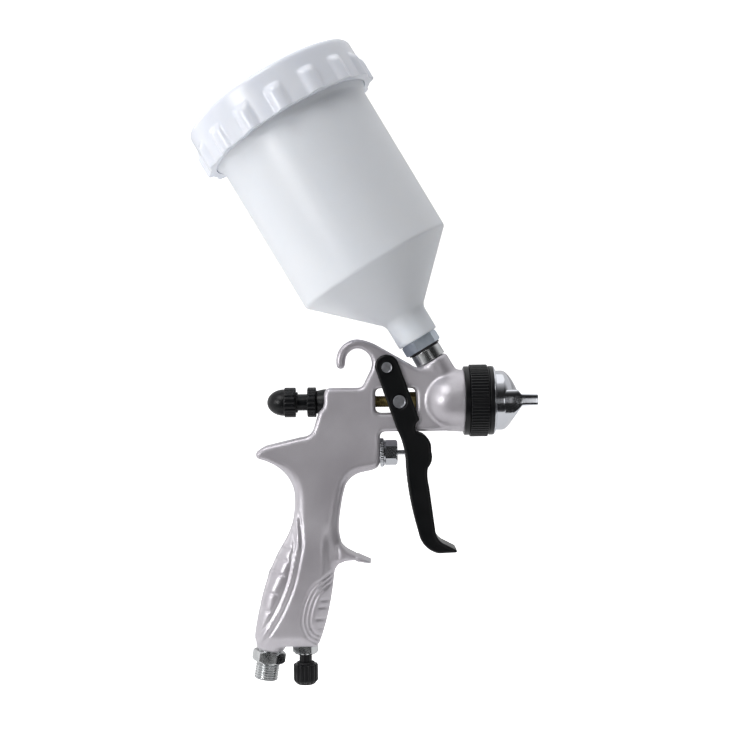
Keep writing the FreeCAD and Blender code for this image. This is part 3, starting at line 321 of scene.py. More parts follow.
# The stretch of the grip, by depth, whose palm is evened, and by how much.
PALM_BLUR = 6.0
PALM_STARTS = (48, 60)
PALM_ENDS = (76, 90)
SPUR_ROOT = -108.0
SPUR_THIN = -99.0
SPUR_HEIGHT = -83.0
SPUR_REACH = 8.0
SPUR_FADE = 0.45
GROOVE_DEPTH = 0.9
# Grooves beside the rear seam: the inset, the width and the share of the depth; below 0 stands proud.
REAR_GROOVES = ((0.0, 1.5, 1.0), (2.0, 1.0, -0.5), (4.4, 1.2, 0.8))
LEAF_INSETS = (0.0, 2.2, 4.4)
LEAF_GROOVE = 1.1
RIB_WIDTH = 1.0
RIB_DEPTH = 0.9
REAR_RIBS = (-78.5, -85.5, -94.5, -106.5, -117.0)
LEAF_RIBS = (-108.0, -112.0, -118.6, -124.0)
REAR_SEAM = [(-130.8, -60.8), (-129.4, -76.4), (-130.6, -84.7), (-134.6, -101.3), (-142.0, -117.9),
             (-151.1, -131.6)]
LEAF_SEAM = [(-112.9, -93.2), (-124.6, -102.5), (-129.8, -118.0), (-127.2, -128.0), (-120.5, -133.1)]


def centre_of(node):
    """The middle of a CAD node's box, in millimetres."""
    low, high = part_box(node)
    return np.array((low + high) / 2) / MM


def half_of(node):
    """Half of a CAD node's box, in millimetres."""
    low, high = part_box(node)
    return np.array((high - low) / 2) / MM


def shoulder(node, line, radius):
    """Where the part of a CAD node further than a radius from a line starts and ends along the line."""
    points = node_mesh(node)[0] - line[0]
    along = points @ line[1]
    away = np.linalg.norm(points - along[:, None] * line[1], axis=1)
    return along[away > radius].min(), along[away > radius].max()


points, triangles = node_mesh("gun_body")
low = np.floor(points.min(0) / CAST_PITCH).astype(int) - 4
high = np.ceil(points.max(0) / CAST_PITCH).astype(int) + 5
cells = tuple(high - low)
places = (np.arange(low[axis], high[axis], dtype=np.float32) * CAST_PITCH for axis in range(3))
place = np.meshgrid(*places, indexing="ij", sparse=True)
solid = sampled(depth_grid(points, triangles, None, CAST_PITCH, CAST_REACH), low, cells)
valve = centre_of("valve_collar")
needle_bore = half_of("needle_sleeve")[1] + 0.35
meter = centre_of("meter_stem")
METER_LINE = (np.array([meter[0], 0, 0]), np.array([0, 0, -1.0]), np.array([1.0, 0, 0]))
FOOT = -shoulder("meter_body", METER_LINE, 5)[0]
fan = centre_of("fan_valve_stem")
pivot = centre_of("trigger_pin")
inlet = next(mount for mount in frame["record"]["mounts"] if mount["name"] == "air_inlet")
inlet_end = np.array(inlet["pos_m"]) / MM
inlet_way = np.array(inlet["axis"])
cup_joint = next(joint for joint in frame["joints"] if joint["name"] == "cup_turn")
cup_way = np.array(cup_joint["axis"])
cup_root = np.array(cup_joint["pos_m"]) / MM
cup_root = cup_root - cup_way * cup_root[2] / cup_way[2]
nut_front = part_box("packing_nut")[1][0] / MM
block_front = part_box("valve_collar")[0][0] / MM
block_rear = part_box("knob_bush")[1][0] / MM - 3
# Bores: their two ends, the radius stopped up before the edges are rounded, and the one drilled after.
BORES = [
    ((-30, 0, 0), (nut_front - 0.2, 0, 0), 5.6, 3.2),
    ((block_front - 2.6, 0, 0), (block_rear - 0.3, 0, 0), 7.6, needle_bore),
    ((block_front, 0, valve[2]), (block_front - 40, 0, valve[2]), 6.4, 5.3),
    (tuple(cup_root), tuple(cup_root + cup_way * 26), 5.4, None),
    (tuple(inlet_end - inlet_way * 10.9), tuple(inlet_end - inlet_way * 55), 7.2, None),
    ((meter[0], 0, FOOT + 0.2), (meter[0], 0, FOOT + 23), 5.2, None),
    ((pivot[0], -9, pivot[2]), (pivot[0], 9, pivot[2]), 3.4, None),
    ((fan[0], 0, fan[2]), (fan[0], 9, fan[2]), 4.6, 2.3),
]
for start, end, stopped, drilled in BORES:
    solid = np.minimum(solid, rod_distance(place, start, end, stopped))
whole = grid_of(solid, low, CAST_PITCH, CAST_REACH)
crisp = sampled(rounded_over(whole, CAST_PITCH, CAST_FILLET, CAST_EDGE), low, cells) - CAST_EDGE
soft = sampled(rounded_over(whole, CAST_PITCH, CAST_FILLET, GRIP_EDGE), low, cells) - GRIP_EDGE
side_x, side_z = np.broadcast_arrays(place[0][:, 0, :], place[2][:, 0, :])
spared = smooth_step(-side_x, *REAR_BACKS) * smooth_step(side_z, *REAR_HEIGHTS)
in_hand = smooth_step(-side_z, *HAND_DEPTHS) * (1 - spared)
blend = (in_hand * smooth_step(side_z, FOOT + 1, FOOT + 9))[:, None, :]
casting = crisp * (1 - blend) + soft * blend
window = 2 * round(PALM_BLUR / CAST_PITCH) + 1
share = (smooth_step(-side_z, *PALM_STARTS) * (1 - smooth_step(-side_z, *PALM_ENDS)))[:, None, :]
for _ in range(2):
    margins = ((0, 0), (0, 0), (window // 2 + 1, window // 2))
    total = np.cumsum(np.pad(casting, margins, mode="edge"), axis=2)
    evened = (total[..., window:] - total[..., :-window]) / window
    casting = casting * (1 - share) + evened * share
# The finger spur is thinner than the grip's rounding, so it is put back from the lightly rounded casting
# and its tip from the sharp one, each sunk deeper the further it lies from the spur.
beyond = SPUR_FADE * np.maximum(np.abs(side_z - SPUR_HEIGHT) - SPUR_REACH, 0)
for shape, root in ((crisp, SPUR_ROOT), (solid, SPUR_THIN)):
    sunk = SPUR_FADE * np.maximum(root - side_x, 0) + beyond
    casting = np.minimum(casting, shape + sunk[:, None, :])
rear_seam = beside_curve(curve_through(REAR_SEAM), side_x, side_z)
leaf_seam = beside_curve(curve_through(LEAF_SEAM), side_x, side_z)
rear_stretch = smooth_step(-side_z, 58, 66)
leaf_stretch = smooth_step(-side_z, 90, 95)
rear_panel = smooth_step(side_z, FOOT + 1, FOOT + 5)
cuts = sum(part * ridge(rear_seam + inset, width) for inset, width, part in REAR_GROOVES)
cuts = cuts * rear_stretch * rear_panel
for inset in LEAF_INSETS:
    cuts = cuts + ridge(leaf_seam - inset, LEAF_GROOVE) * leaf_stretch
for rib_height in REAR_RIBS:
    across = ridge(side_z - rib_height + 0.36 * (side_x + 140), RIB_WIDTH)
    within = smooth_step(-rear_seam, 5.5, 6.5) * (1 - smooth_step(-rear_seam, 13, 17))
    cuts = cuts + RIB_DEPTH * across * within
for rib_height in LEAF_RIBS:
    across = ridge(side_z - rib_height + 0.1 * (side_x + 120), RIB_WIDTH)
    within = smooth_step(leaf_seam, 7.0, 8.0) * (1 - smooth_step(leaf_seam, 13, 15))
    cuts = cuts + RIB_DEPTH * across * within
casting = casting + (GROOVE_DEPTH * cuts)[:, None, :] * smooth_step(np.abs(place[1]), 2.5, 5)
for start, end, stopped, drilled in BORES:
    if drilled:
        casting = np.maximum(casting, -rod_distance(place, start, end, drilled))
casting = grid_of(casting.astype(np.float32), low, CAST_PITCH, CAST_FILLET)
cast_body = cast_piece("cast_body", casting, 0.0, 4)

# Silver enamel, sprayed on die-cast aluminium: fine flake, a faint orange peel, and a soft sheen
# that wanders a little where hands have polished it.
silver_enamel, enamel = finish_named("silver_enamel_sprayed", Metallic=0.5, Roughness=0.36,
                                     Coat_Weight=0.15, Coat_Roughness=0.25)
tree = silver_enamel.node_tree
spot = add(tree, "ShaderNodeTexCoord").outputs["Object"]
flake = add(tree, "ShaderNodeTexNoise", {"Vector": spot, "Scale": 1 / (0.5 * MM), "Detail": 2.0})
cloud = add(tree, "ShaderNodeTexNoise", {"Vector": spot, "Scale": 1 / (24 * MM), "Detail": 3.0})
peel = add(tree, "ShaderNodeTexNoise", {"Vector": spot, "Scale": 1 / (1.6 * MM), "Detail": 1.0})
mixed = add(tree, "ShaderNodeMath", {0: flake.outputs["Fac"], 1: 0.35, 2: cloud.outputs["Fac"]},
            operation="MULTIPLY_ADD")
tone = add(tree, "ShaderNodeValToRGB", {"Fac": mixed.outputs[0]})
tone.color_ramp.elements[0].position = 0.45
tone.color_ramp.elements[0].color = linear("#B5B1B7")
tone.color_ramp.elements[1].position = 0.95
tone.color_ramp.elements[1].color = linear("#C9C6CB")
tree.links.new(tone.outputs["Color"], enamel.inputs["Base Color"])
sheen = add(tree, "ShaderNodeMapRange", {"Value": cloud.outputs["Fac"], "To Min": 0.31, "To Max": 0.43})
tree.links.new(sheen.outputs["Result"], enamel.inputs["Roughness"])
bumps = add(tree, "ShaderNodeBump", {
    "Height": peel.outputs["Fac"], "Strength": 0.12, "Distance": 0.05 * MM})
tree.links.new(bumps.outputs["Normal"], enamel.inputs["Normal"])
settle(cast_body, silver_enamel, "body", "silver_paint", "gun_body")

# ----------------------------------------
# Retaining ring: black anodised aluminium, knurled with straight ridges between two plain lips.
# It screws onto the head and holds the air cap. A thin polished band closes its front.
# ----------------------------------------
def mesh_of(name, points, faces, sharp=30):
    """A smooth closed mesh from points in millimetres and faces of four corners, turned outwards."""
    mesh = bpy.data.meshes.new(name)
    mesh.from_pydata((points * MM).tolist(), [], faces.tolist())
    close_outwards(mesh)
    mesh.shade_smooth()
    mesh.set_sharp_from_angle(angle=math.radians(sharp))
    made = bpy.data.objects.new(name, mesh)
    bpy.context.scene.collection.objects.link(made)
    return made


def grid_faces(rows, columns, rows_wrap):
    """Faces of four over a grid of points, whose columns wrap round and whose rows may."""
    row = np.arange(rows if rows_wrap else rows - 1)[:, None]
    column = np.arange(columns)[None, :] + 0 * row
    below = (row + 1) % rows * columns
    beside = (column + 1) % columns
    row = row * columns
    return np.stack((row + column, row + beside, below + beside, below + column), -1).reshape(-1, 4)


def span(node, line):
    """Where a CAD node starts and ends along a line, and its greatest radius about it, in millimetres."""
    points = node_mesh(node)[0] - line[0]
    along = points @ line[1]
    away = np.linalg.norm(points - along[:, None] * line[1], axis=1)
    return along.min(), along.max(), away.max()


def softened(corners, closed, step):
    """A profile with its corners rounded: each is the curve from one cut-back point to the other that
    leans on the corner, and long runs are divided so that no stretch is over one step."""
    spots = np.array([corner[:2] for corner in corners], float)
    radii = np.array([corner[2] if len(corner) > 2 else 0.12 for corner in corners], float)
    before = np.roll(spots, 1, axis=0) - spots
    after = np.roll(spots, -1, axis=0) - spots
    lengths = [np.linalg.norm(way, axis=1) + 1e-9 for way in (before, after)]
    cuts = np.minimum(radii, 0.48 * np.minimum(*lengths))
    if not closed:
        cuts[[0, -1]] = 0
    start = spots + before * (cuts / lengths[0])[:, None]
    end = spots + after * (cuts / lengths[1])[:, None]
    t = np.linspace(0, 1, 6)[None, :, None]
    bent = start[:, None] * (1 - t) ** 2 + 2 * spots[:, None] * t * (1 - t) + end[:, None] * t ** 2
    path = bent.reshape(-1, 2)
    if closed:
        path = np.vstack([path, path[0]])
    travel = np.concatenate([[0], np.cumsum(np.linalg.norm(np.diff(path, axis=0), axis=1))])
    stations = np.unique(np.round(np.concatenate([travel, np.arange(0, travel[-1], step)]), 4))
    stations = stations[np.concatenate([[True], np.diff(stations) > 0.02])]
    if closed:
        stations = stations[stations < travel[-1] - 0.02]
    return np.interp(stations, travel, path[:, 0]), np.interp(stations, travel, path[:, 1])


def turned(name, corners, line, shape=None, columns=96, closed=True, step=1.2, sharp=30):
    """The surface at origin + along * axis + radius * (cos angle * across + sin angle * third), for each
    point of the profile and each angle. A shape formula may change the radius by place and angle."""
    along, radius = softened(corners, closed, step)
    angle = np.linspace(0, 2 * math.pi, columns, endpoint=False)[None, :]
    along, radius = along[:, None] + 0 * angle, radius[:, None] + 0 * angle
    if shape:
        along, radius = shape(along, radius, angle)
    origin, axis, across = line
    third = np.cross(axis, across)
    outwards = np.cos(angle)[..., None] * across + np.sin(angle)[..., None] * third
    points = origin + along[..., None] * axis + radius[..., None] * outwards
    rows, columns = along.shape
    return mesh_of(name, points.reshape(-1, 3), grid_faces(rows, columns, closed), sharp)


SPRAY_LINE = (np.zeros(3), np.array([1.0, 0, 0]), np.array([0, 0, 1.0]))
ring_rear, ring_front, ring_radius = span("retaining_ring", SPRAY_LINE)
LIP = ring_radius - 0.9
RIDGES = 66
KNURL_DEPTH = 0.5


def ridged(count, depth, low, high, width=2.0, power=1):
    """Ridges round a piece: the radius falls by a depth times one less the cosine of half the ridge's angle
    to the power of the width, all to a power, and only where the profile rises from low to high."""
    def shape(along, radius, angle):
        valley = (1 - np.abs(np.cos(count * angle / 2)) ** width) ** power
        return along, radius - depth * valley * smooth_step(radius, low, high)
    return shape


ring = turned("knurled_ring", [
    (ring_rear, 17.0), (ring_rear, LIP, 0.5), (ring_rear + 2.7, LIP, 0.15),
    (ring_rear + 3.0, LIP - 0.35, 0.1),
    (ring_rear + 3.3, ring_radius, 0.35), (ring_front - 3.2, ring_radius, 0.35),
    (ring_front - 2.9, LIP - 0.4, 0.1),
    (ring_front - 2.5, LIP - 0.4, 0.1), (ring_front - 2.2, LIP, 0.2), (ring_front, LIP, 0.5),
    (ring_front, 16.8), (ring_front - 0.6, 16.8), (ring_front - 0.9, 17.05)],
    SPRAY_LINE, ridged(RIDGES, KNURL_DEPTH, LIP + 0.3, LIP + 0.8, 0.7), columns=RIDGES * 8, step=1.0)

# Black anodised aluminium: turned, then dyed; a deep black with a dull sheen, rubbed grey on the
# highest edges, with fine lathe lines.
black_anodised, anodic = finish_named("aluminium_anodised_black", Metallic=0.0, Specular_IOR_Level=0.28)
tree = black_anodised.node_tree
spot = add(tree, "ShaderNodeTexCoord").outputs["Object"]
speck = add(tree, "ShaderNodeTexNoise", {"Vector": spot, "Scale": 1 / (3 * MM), "Detail": 4.0})
worn = add(tree, "ShaderNodeNewGeometry").outputs["Pointiness"]
edge = add(tree, "ShaderNodeMapRange", {
    "Value": worn, "From Min": 0.55, "From Max": 0.68, "To Min": 0.0, "To Max": 0.35})
dust = add(tree, "ShaderNodeMath", {0: speck.outputs["Fac"], 1: edge.outputs["Result"]},
           operation="MULTIPLY")
tone = add(tree, "ShaderNodeMix", {
    "Factor": dust.outputs[0], "A": linear("#050609"), "B": linear("#3A3B40")}, data_type="RGBA")
tree.links.new(tone.outputs["Result"], anodic.inputs["Base Color"])
sheen = add(tree, "ShaderNodeMapRange", {"Value": speck.outputs["Fac"], "To Min": 0.26, "To Max": 0.42})
tree.links.new(sheen.outputs["Result"], anodic.inputs["Roughness"])
settle(ring, black_anodised, "retaining_ring", "black_anodised", "retaining_ring")

band_rear, band_front, band_radius = span("ring_band", SPRAY_LINE)
band = turned("polished_band", [
    (band_rear, 16.9), (band_rear, band_radius, 0.15), (band_rear + 0.45, band_radius, 0.1),
    (band_rear + 0.55, band_radius - 0.5, 0.05), (band_front - 0.3, band_radius - 0.5, 0.1),
    (band_front, band_radius - 1.1, 0.15), (band_front, 16.9)], SPRAY_LINE, columns=128, step=0.6)


def mottled(name, grain, detail, colours=None, sheen=None, **sockets):
    """A material over which one noise, of that grain in millimetres, carries the colour from the first to
    the second and the roughness from the first to the second. Returns it, its shader and the noise."""
    made, shader = finish_named(name, **sockets)
    tree = made.node_tree
    spot = add(tree, "ShaderNodeTexCoord").outputs["Object"]
    noise = add(tree, "ShaderNodeTexNoise", {"Vector": spot, "Scale": 1 / (grain * MM), "Detail": detail})
    noise = noise.outputs["Fac"]
    if colours:
        tone = add(tree, "ShaderNodeMix", {
            "Factor": noise, "A": linear(colours[0]), "B": linear(colours[1])}, data_type="RGBA")
        tree.links.new(tone.outputs["Result"], shader.inputs["Base Color"])
    if sheen:
        gloss = add(tree, "ShaderNodeMapRange", {"Value": noise, "To Min": sheen[0], "To Max": sheen[1]})
        tree.links.new(gloss.outputs["Result"], shader.inputs["Roughness"])
    return made, shader, noise


# Chrome plate, polished on brass: a mirror with a little haze and wiping marks.
chrome, _, _ = mottled("chrome_plate_polished", 9, 5.0, None, (0.07, 0.2),
                       Base_Color=linear("#C3C5CA"), Metallic=1.0)
settle(band, chrome, "retaining_ring", "chrome", "ring_band")

# ----------------------------------------
# Air cap: brass, turned to a dome with two horns that blow the spray into a fan, chrome plated.
# ----------------------------------------
cap_rear, _, cap_reach = span("air_cap", SPRAY_LINE)
CAP_RADIUS = 16.5
DOME_END = 4.2
CAP_HOLE = 2.0
HORN_INNER = 10.4
dome_tip = -9.1
rim_front = dome_tip - 9.3
along = np.linspace(0, 1, 24)[1:-1]
dome_curve = [(rim_front + (dome_tip - rim_front) * t,
               CAP_RADIUS - (CAP_RADIUS - DOME_END) * t ** 1.75, 0.0) for t in along.tolist()]
dome = turned("air_cap_dome", [
    (cap_rear, 14.3), (cap_rear, cap_reach, 0.2), (cap_rear + 2.4, cap_reach, 0.2),
    (cap_rear + 2.4, CAP_RADIUS, 0.1),
    (rim_front, CAP_RADIUS, 0.5), *dome_curve, (dome_tip, DOME_END, 0.2), (dome_tip, CAP_HOLE, 0.2),
    (dome_tip - 1.8, CAP_HOLE), (rim_front + 1.4, 11.9), (rim_front - 1.0, 14.3)],
    SPRAY_LINE, columns=160, step=0.6, sharp=40)


def horn(name, side):
    """A horn as a tapering bar: at each place along the spray axis its section is a rounded rectangle
    between the inner and outer radius, whose top and bottom edges run in from the root to the tip."""
    along = np.concatenate([np.linspace(rim_front - 0.6, -11.5, 14), np.linspace(-11.3, -8.2, 12),
                            np.linspace(-8.0, -0.5, 14), [-0.2, -0.04, 0.0]])
    inset = np.interp(along, [-0.5, -0.2, -0.04, 0.0], [0, 0.06, 0.25, 0.5])
    top = np.interp(along, [rim_front, -10.8, -9.0, 0], [6.0, 6.0, 3.7, 3.4]) - inset
    bottom = np.interp(along, [rim_front, -13.6, -8.6, 0], [-10.6, -10.6, -2.9, -2.7]) + inset
    inner = np.interp(along, [rim_front, -12, -9, 0], [9.0, 9.6, HORN_INNER, HORN_INNER]) + inset
    turn = np.linspace(0, 2 * math.pi, 48, endpoint=False)[None, :]
    wide = np.abs(np.cos(turn)) ** 0.28 * np.sign(np.cos(turn))
    tall = np.abs(np.sin(turn)) ** 0.28 * np.sign(np.sin(turn))
    z = (top + bottom)[:, None] / 2 + (top - bottom)[:, None] / 2 * tall
    skin = np.sqrt(np.maximum((CAP_RADIUS - inset[:, None]) ** 2 - z ** 2, 1))
    y = (skin + inner[:, None]) / 2 + (skin - inner[:, None]) / 2 * wide
    points = np.stack([along[:, None] + 0 * turn, -side * y, side * z], -1)
    caps = points[[0, -1]].mean(1, keepdims=True) + 0 * points[[0, -1]]
    points = np.concatenate([caps[:1], points, caps[1:]])
    return mesh_of(name, points.reshape(-1, 3), grid_faces(len(points), 48, False), 35)


settle(dome, chrome, "air_cap", "chrome", "air_cap")
for name, side in (("air_horn_right", 1), ("air_horn_left", -1)):
    settle(horn(name, side), chrome, "air_cap", "chrome", "air_cap")

# ----------------------------------------
# Trigger: black enamelled lever, two side plates joined by a front web. Its edges are rounded and
# the enamel gathers along them. It turns on a steel pin and pulls the needle by a second pin.
# ----------------------------------------
LEVER_PITCH = 0.36
LEVER_EDGE = 0.75
LEVER_FILLET = 0.8
points, triangles = node_mesh("trigger")
start = depth_grid(points, triangles, None, LEVER_PITCH, LEVER_FILLET + 3 * LEVER_PITCH)
lever_grid = rounded_over(start, LEVER_PITCH, LEVER_FILLET, LEVER_EDGE)
lever = cast_piece("trigger_lever", lever_grid, LEVER_EDGE, 3)

# Black stoved enamel: near black, smooth and half glossy, with a faint unevenness from dipping.
black_enamel, stoved, flow = mottled("black_enamel_stoved", 7, 3.0, None, (0.24, 0.42),
                                     Base_Color=linear("#050608"), Specular_IOR_Level=0.3)
waves = add(black_enamel.node_tree, "ShaderNodeBump", {
    "Height": flow, "Strength": 0.1, "Distance": 0.2 * MM})
black_enamel.node_tree.links.new(waves.outputs["Normal"], stoved.inputs["Normal"])
settle(lever, black_enamel, "trigger", "black_paint", "trigger")

# Steel pins: turned and faced, zinc bright. Each shows a flat face with a rounded rim.
bright_steel, _, _ = mottled("steel_turned_zinc_bright", 1.8, 4.0, ("#8B8D92", "#B4B5BA"), (0.24, 0.42),
                             Metallic=0.9, Roughness=0.34)
PIN_DISH = 0.12


def pin(name, node, rim):
    """A pin across the gun: a straight bar with rounded rims and a shallow dish in each end."""
    low, high = (np.array(corner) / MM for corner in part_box(node))
    radius = (high[2] - low[2]) / 2
    middle = (low + high) / 2
    line = (np.array([middle[0], 0, middle[2]]), np.array([0, 1.0, 0]), np.array([0, 0, 1.0]))
    near, far, face = low[1], high[1], radius - rim
    return turned(name, [
        (near + PIN_DISH, 0), (near + PIN_DISH, face - 0.25, 0.1), (near, face, 0.1), (near, radius, rim),
        (far, radius, rim), (far, face, 0.1), (far - PIN_DISH, face - 0.25, 0.1), (far - PIN_DISH, 0)],
        line, columns=64, closed=False, step=1.0)


for name, node, rim, body in (
        ("pivot_pin", "trigger_pin", 0.3, "body"), ("pivot_head_right", "pivot_clip_right", 0.25, "body"),
        ("pivot_head_left", "pivot_clip_left", 0.25, "body"),
        ("needle_pull_pin", "push_pin", 0.45, "trigger")):
    settle(pin(name, node, rim), bright_steel, body, "steel", node)

# ----------------------------------------
# Needle line: a stainless needle in a brass sleeve and a brass packing nut, both seen in the
# window of the casting.
# ----------------------------------------
# Brass, turned and dulled by paint: olive brown with brighter lathe lines.
dull_brass, _, _ = mottled("brass_turned_dulled", 4, 5.0, ("#6F6238", "#C2B27C"), (0.22, 0.5),
                           Metallic=0.95)


def hexed(corner_radius, least, first=-math.inf, last=math.inf, turn=0.0):
    """A hexagon cut where the profile is over the least radius and between two places: its radius is half
    its width over flats, divided by the cosine of the angle from the flat's middle."""
    def shape(along, radius, angle):
        from_flat = (angle + turn) % (math.pi / 3) - math.pi / 6
        limit = corner_radius * math.cos(math.pi / 6) / np.cos(from_flat)
        head = (along > first) & (along < last) & (radius > least)
        return along, np.where(head, np.minimum(radius, limit), radius)
    return shape


def threaded(first, last, pitch, depth, outer):
    """Radius less a thread's depth times a raised cosine of the way along less the share of a turn."""
    def shape(along, radius, angle):
        wave = 0.5 - 0.5 * np.cos(2 * math.pi * along / pitch - angle)
        on_thread = (along > first) & (along < last) & (radius > outer - depth - 0.3)
        return along, radius - depth * wave * on_thread
    return shape


nut_rear, nut_end, nut_radius = span("packing_nut", SPRAY_LINE)
packing_nut = turned("packing_nut_brass", [
    (nut_rear, 1.7), (nut_rear, nut_radius - 0.5, 0.2), (nut_rear + 0.5, nut_radius, 0.2),
    (nut_rear + 4, nut_radius, 0.2), (nut_rear + 4, 4.0), (nut_end, 4.0), (nut_end, 1.7)],
    SPRAY_LINE, hexed(nut_radius, nut_radius - 1.6), columns=96, step=0.8)
settle(packing_nut, dull_brass, "body", "brass", "packing_nut")
sleeve_rear, sleeve_end, sleeve_radius = span("needle_sleeve", SPRAY_LINE)
SLEEVE = 3.3
sleeve = turned("needle_sleeve_brass", [
    (sleeve_rear, 1.3), (sleeve_rear, sleeve_radius, 0.2), (sleeve_rear + 1.6, sleeve_radius, 0.2),
    (sleeve_rear + 1.6, SLEEVE), (sleeve_end, SLEEVE, 0.3), (sleeve_end, 1.3)], SPRAY_LINE,
    threaded(sleeve_rear + 3, sleeve_end - 1.2, 1.0, 0.35, SLEEVE), columns=64, step=0.2)
settle(sleeve, dull_brass, "needle", "brass", "needle_sleeve")

# ----------------------------------------
# Rear knob group: the bush, the lock ring and the needle knob, black anodised. The two rings have
# milled flats for the fingers and the knob ends in a plain dome.
# ----------------------------------------
bush_rear, bush_front, bush_radius = span("knob_bush", SPRAY_LINE)
lock_rear, lock_front, lock_radius = span("lock_ring", SPRAY_LINE)
knob_rear, knob_front, knob_radius = span("fluid_knob", SPRAY_LINE)
KNOB_FLATS = 14
milled = ridged(KNOB_FLATS, 0.42, knob_radius - 0.9, knob_radius - 0.3, 0.5)
bush_piece = turned("knob_bush_black", [
    (bush_rear, 4.1), (bush_rear, bush_radius - 0.9, 0.3), (bush_front - 4.4, bush_radius, 0.3),
    (bush_front - 3.0, bush_radius), (bush_front - 3.0, 5.15), (bush_front, 5.15), (bush_front, 4.1)],
    SPRAY_LINE, columns=96)
settle(bush_piece, black_anodised, "body", "black_anodised", "knob_bush")
lock = turned("lock_ring_black", [
    (lock_rear, 4.7), (lock_rear, lock_radius, 0.5), (lock_front, lock_radius, 0.5), (lock_front, 4.7)],
    SPRAY_LINE, milled, columns=KNOB_FLATS * 12, step=0.8)
settle(lock, black_anodised, "lock_ring", "black_anodised", "lock_ring")
NECK = 4.6
rim_end = lock_rear - 6.5
dome_start = rim_end - 6.4
crown = knob_radius - 0.9
arc = (np.linspace(0, 1, 22)[1:-1] * math.pi / 2).tolist()
dome_points = [(dome_start + (knob_rear - dome_start) * math.sin(t), crown * math.cos(t), 0.0)
               for t in arc]
knob = turned("needle_knob_black", [
    (knob_front, 1.9), (knob_front, 4.0), (lock_rear + 1, 4.0), (lock_rear + 1, NECK, 0.1),
    (rim_end, NECK, 0.2), (rim_end, knob_radius, 0.6), (dome_start + 0.3, knob_radius, 0.5),
    (dome_start, crown, 0.1), *dome_points, (knob_rear, 0)],
    SPRAY_LINE, milled, columns=KNOB_FLATS * 12, closed=False, step=0.8)
settle(knob, black_anodised, "fluid_knob", "black_anodised", "fluid_knob")

# ----------------------------------------
# Air valve: a knurled chrome collar, a hex nut and the steel stem that the trigger pushes.
# ----------------------------------------
VALVE_LINE = (np.array([0, 0, valve[2]]), np.array([1.0, 0, 0]), np.array([0, 0, 1.0]))
collar_rear, collar_front, collar_radius = span("valve_collar", VALVE_LINE)
COLLAR_RIDGES = 36
fluted = ridged(COLLAR_RIDGES, 0.22, collar_radius - 0.5, collar_radius - 0.15)
collar = turned("valve_collar_chrome", [
    (collar_rear, 6.0), (collar_rear, collar_radius, 0.4), (collar_rear + 1.9, collar_radius, 0.4),
    (collar_rear + 2.1, collar_radius - 0.9, 0.1), (collar_front, collar_radius - 1.2, 0.5),
    (collar_front, 6.0)],
    VALVE_LINE, fluted, columns=COLLAR_RIDGES * 8, step=0.5)

# Chrome plate, satin on turned brass: fine lines round the piece blur what it reflects.
brushed_chrome, satin = finish_named("chrome_plate_satin", Base_Color=linear("#BDBFC4"), Metallic=1.0,
                                     Roughness=0.28)
tree = brushed_chrome.node_tree
spot = add(tree, "ShaderNodeTexCoord").outputs["Object"]
stretch = add(tree, "ShaderNodeMapping", {"Vector": spot, "Scale": (0.08, 1.0, 1.0)})
grain = add(tree, "ShaderNodeTexNoise", {
    "Vector": stretch.outputs["Vector"], "Scale": 1 / (0.35 * MM), "Detail": 3.0})
sheen = add(tree, "ShaderNodeMapRange", {"Value": grain.outputs["Fac"], "To Min": 0.13, "To Max": 0.24})
tree.links.new(sheen.outputs["Result"], satin.inputs["Roughness"])
lines = add(tree, "ShaderNodeBump", {
    "Height": grain.outputs["Fac"], "Strength": 0.04, "Distance": 0.02 * MM})
tree.links.new(lines.outputs["Normal"], satin.inputs["Normal"])
settle(collar, brushed_chrome, "body", "chrome", "valve_collar")
valve_rear, valve_front, valve_radius = span("air_valve_nut", VALVE_LINE)
valve_hex = hexed(valve_radius, 5, first=collar_front - 0.02, turn=math.radians(4))
valve_nut = turned("air_valve_nut_chrome", [
    (valve_rear, 1.4), (valve_rear, 5.95), (collar_front - 0.05, 5.95), (collar_front, valve_radius),
    (valve_front - 0.9, valve_radius, 0.1), (valve_front, valve_radius - 1.0, 0.2), (valve_front, 1.4)],
    VALVE_LINE, valve_hex, columns=144, step=0.8, sharp=25)
settle(valve_nut, brushed_chrome, "body", "chrome", "air_valve_nut")
stem_rear, stem_front, stem_radius = span("valve_stem", VALVE_LINE)
stem = turned("valve_stem_steel", [
    (stem_rear, 0), (stem_rear, stem_radius), (stem_front, stem_radius, 0.4), (stem_front, 0)],
    VALVE_LINE, columns=48, closed=False, step=1.0)
settle(stem, bright_steel, "valve", "steel", "valve_stem")

# ----------------------------------------
# Cup line: a bright steel collar pressed in the boss, a black gasket and a plated hex adapter
# that the cup is moulded onto.
# ----------------------------------------
CUP_LINE = (cup_root, cup_way, np.array([cup_way[2], 0, -cup_way[0]]))
seat_low, seat_high, seat_radius = span("cup_collar", CUP_LINE)
seat = turned("cup_collar_steel", [
    (seat_low, 5.0), (seat_low, seat_radius, 0.2), (seat_high - 0.5, seat_radius, 0.15),
    (seat_high, seat_radius - 0.5, 0.15), (seat_high, 5.0)], CUP_LINE, columns=128, step=0.8)

# Nickel-plated steel, ground and polished: cool and bright, with thin turning lines round it.
nickel, _, _ = mottled("steel_nickel_plated", 5, 4.0, ("#A9ACAE", "#D5D6D6"), (0.12, 0.3), Metallic=1.0)
settle(seat, nickel, "body", "steel", "cup_collar")

gasket_low, gasket_high, gasket_radius = span("adapter_gasket", CUP_LINE)
gasket = turned("adapter_gasket_rubber", [
    (gasket_low, 5.0), (gasket_low, gasket_radius, 0.35), (gasket_high, gasket_radius, 0.35),
    (gasket_high, 5.0)],
    CUP_LINE, columns=96, step=0.6)

# Nitrile rubber, moulded: dull black with a dusty bloom.
rubber, _, _ = mottled("nitrile_rubber_moulded", 1.5, 4.0, ("#0D0D0E", "#242427"), Roughness=0.7)
settle(gasket, rubber, "cup", "rubber", "adapter_gasket")

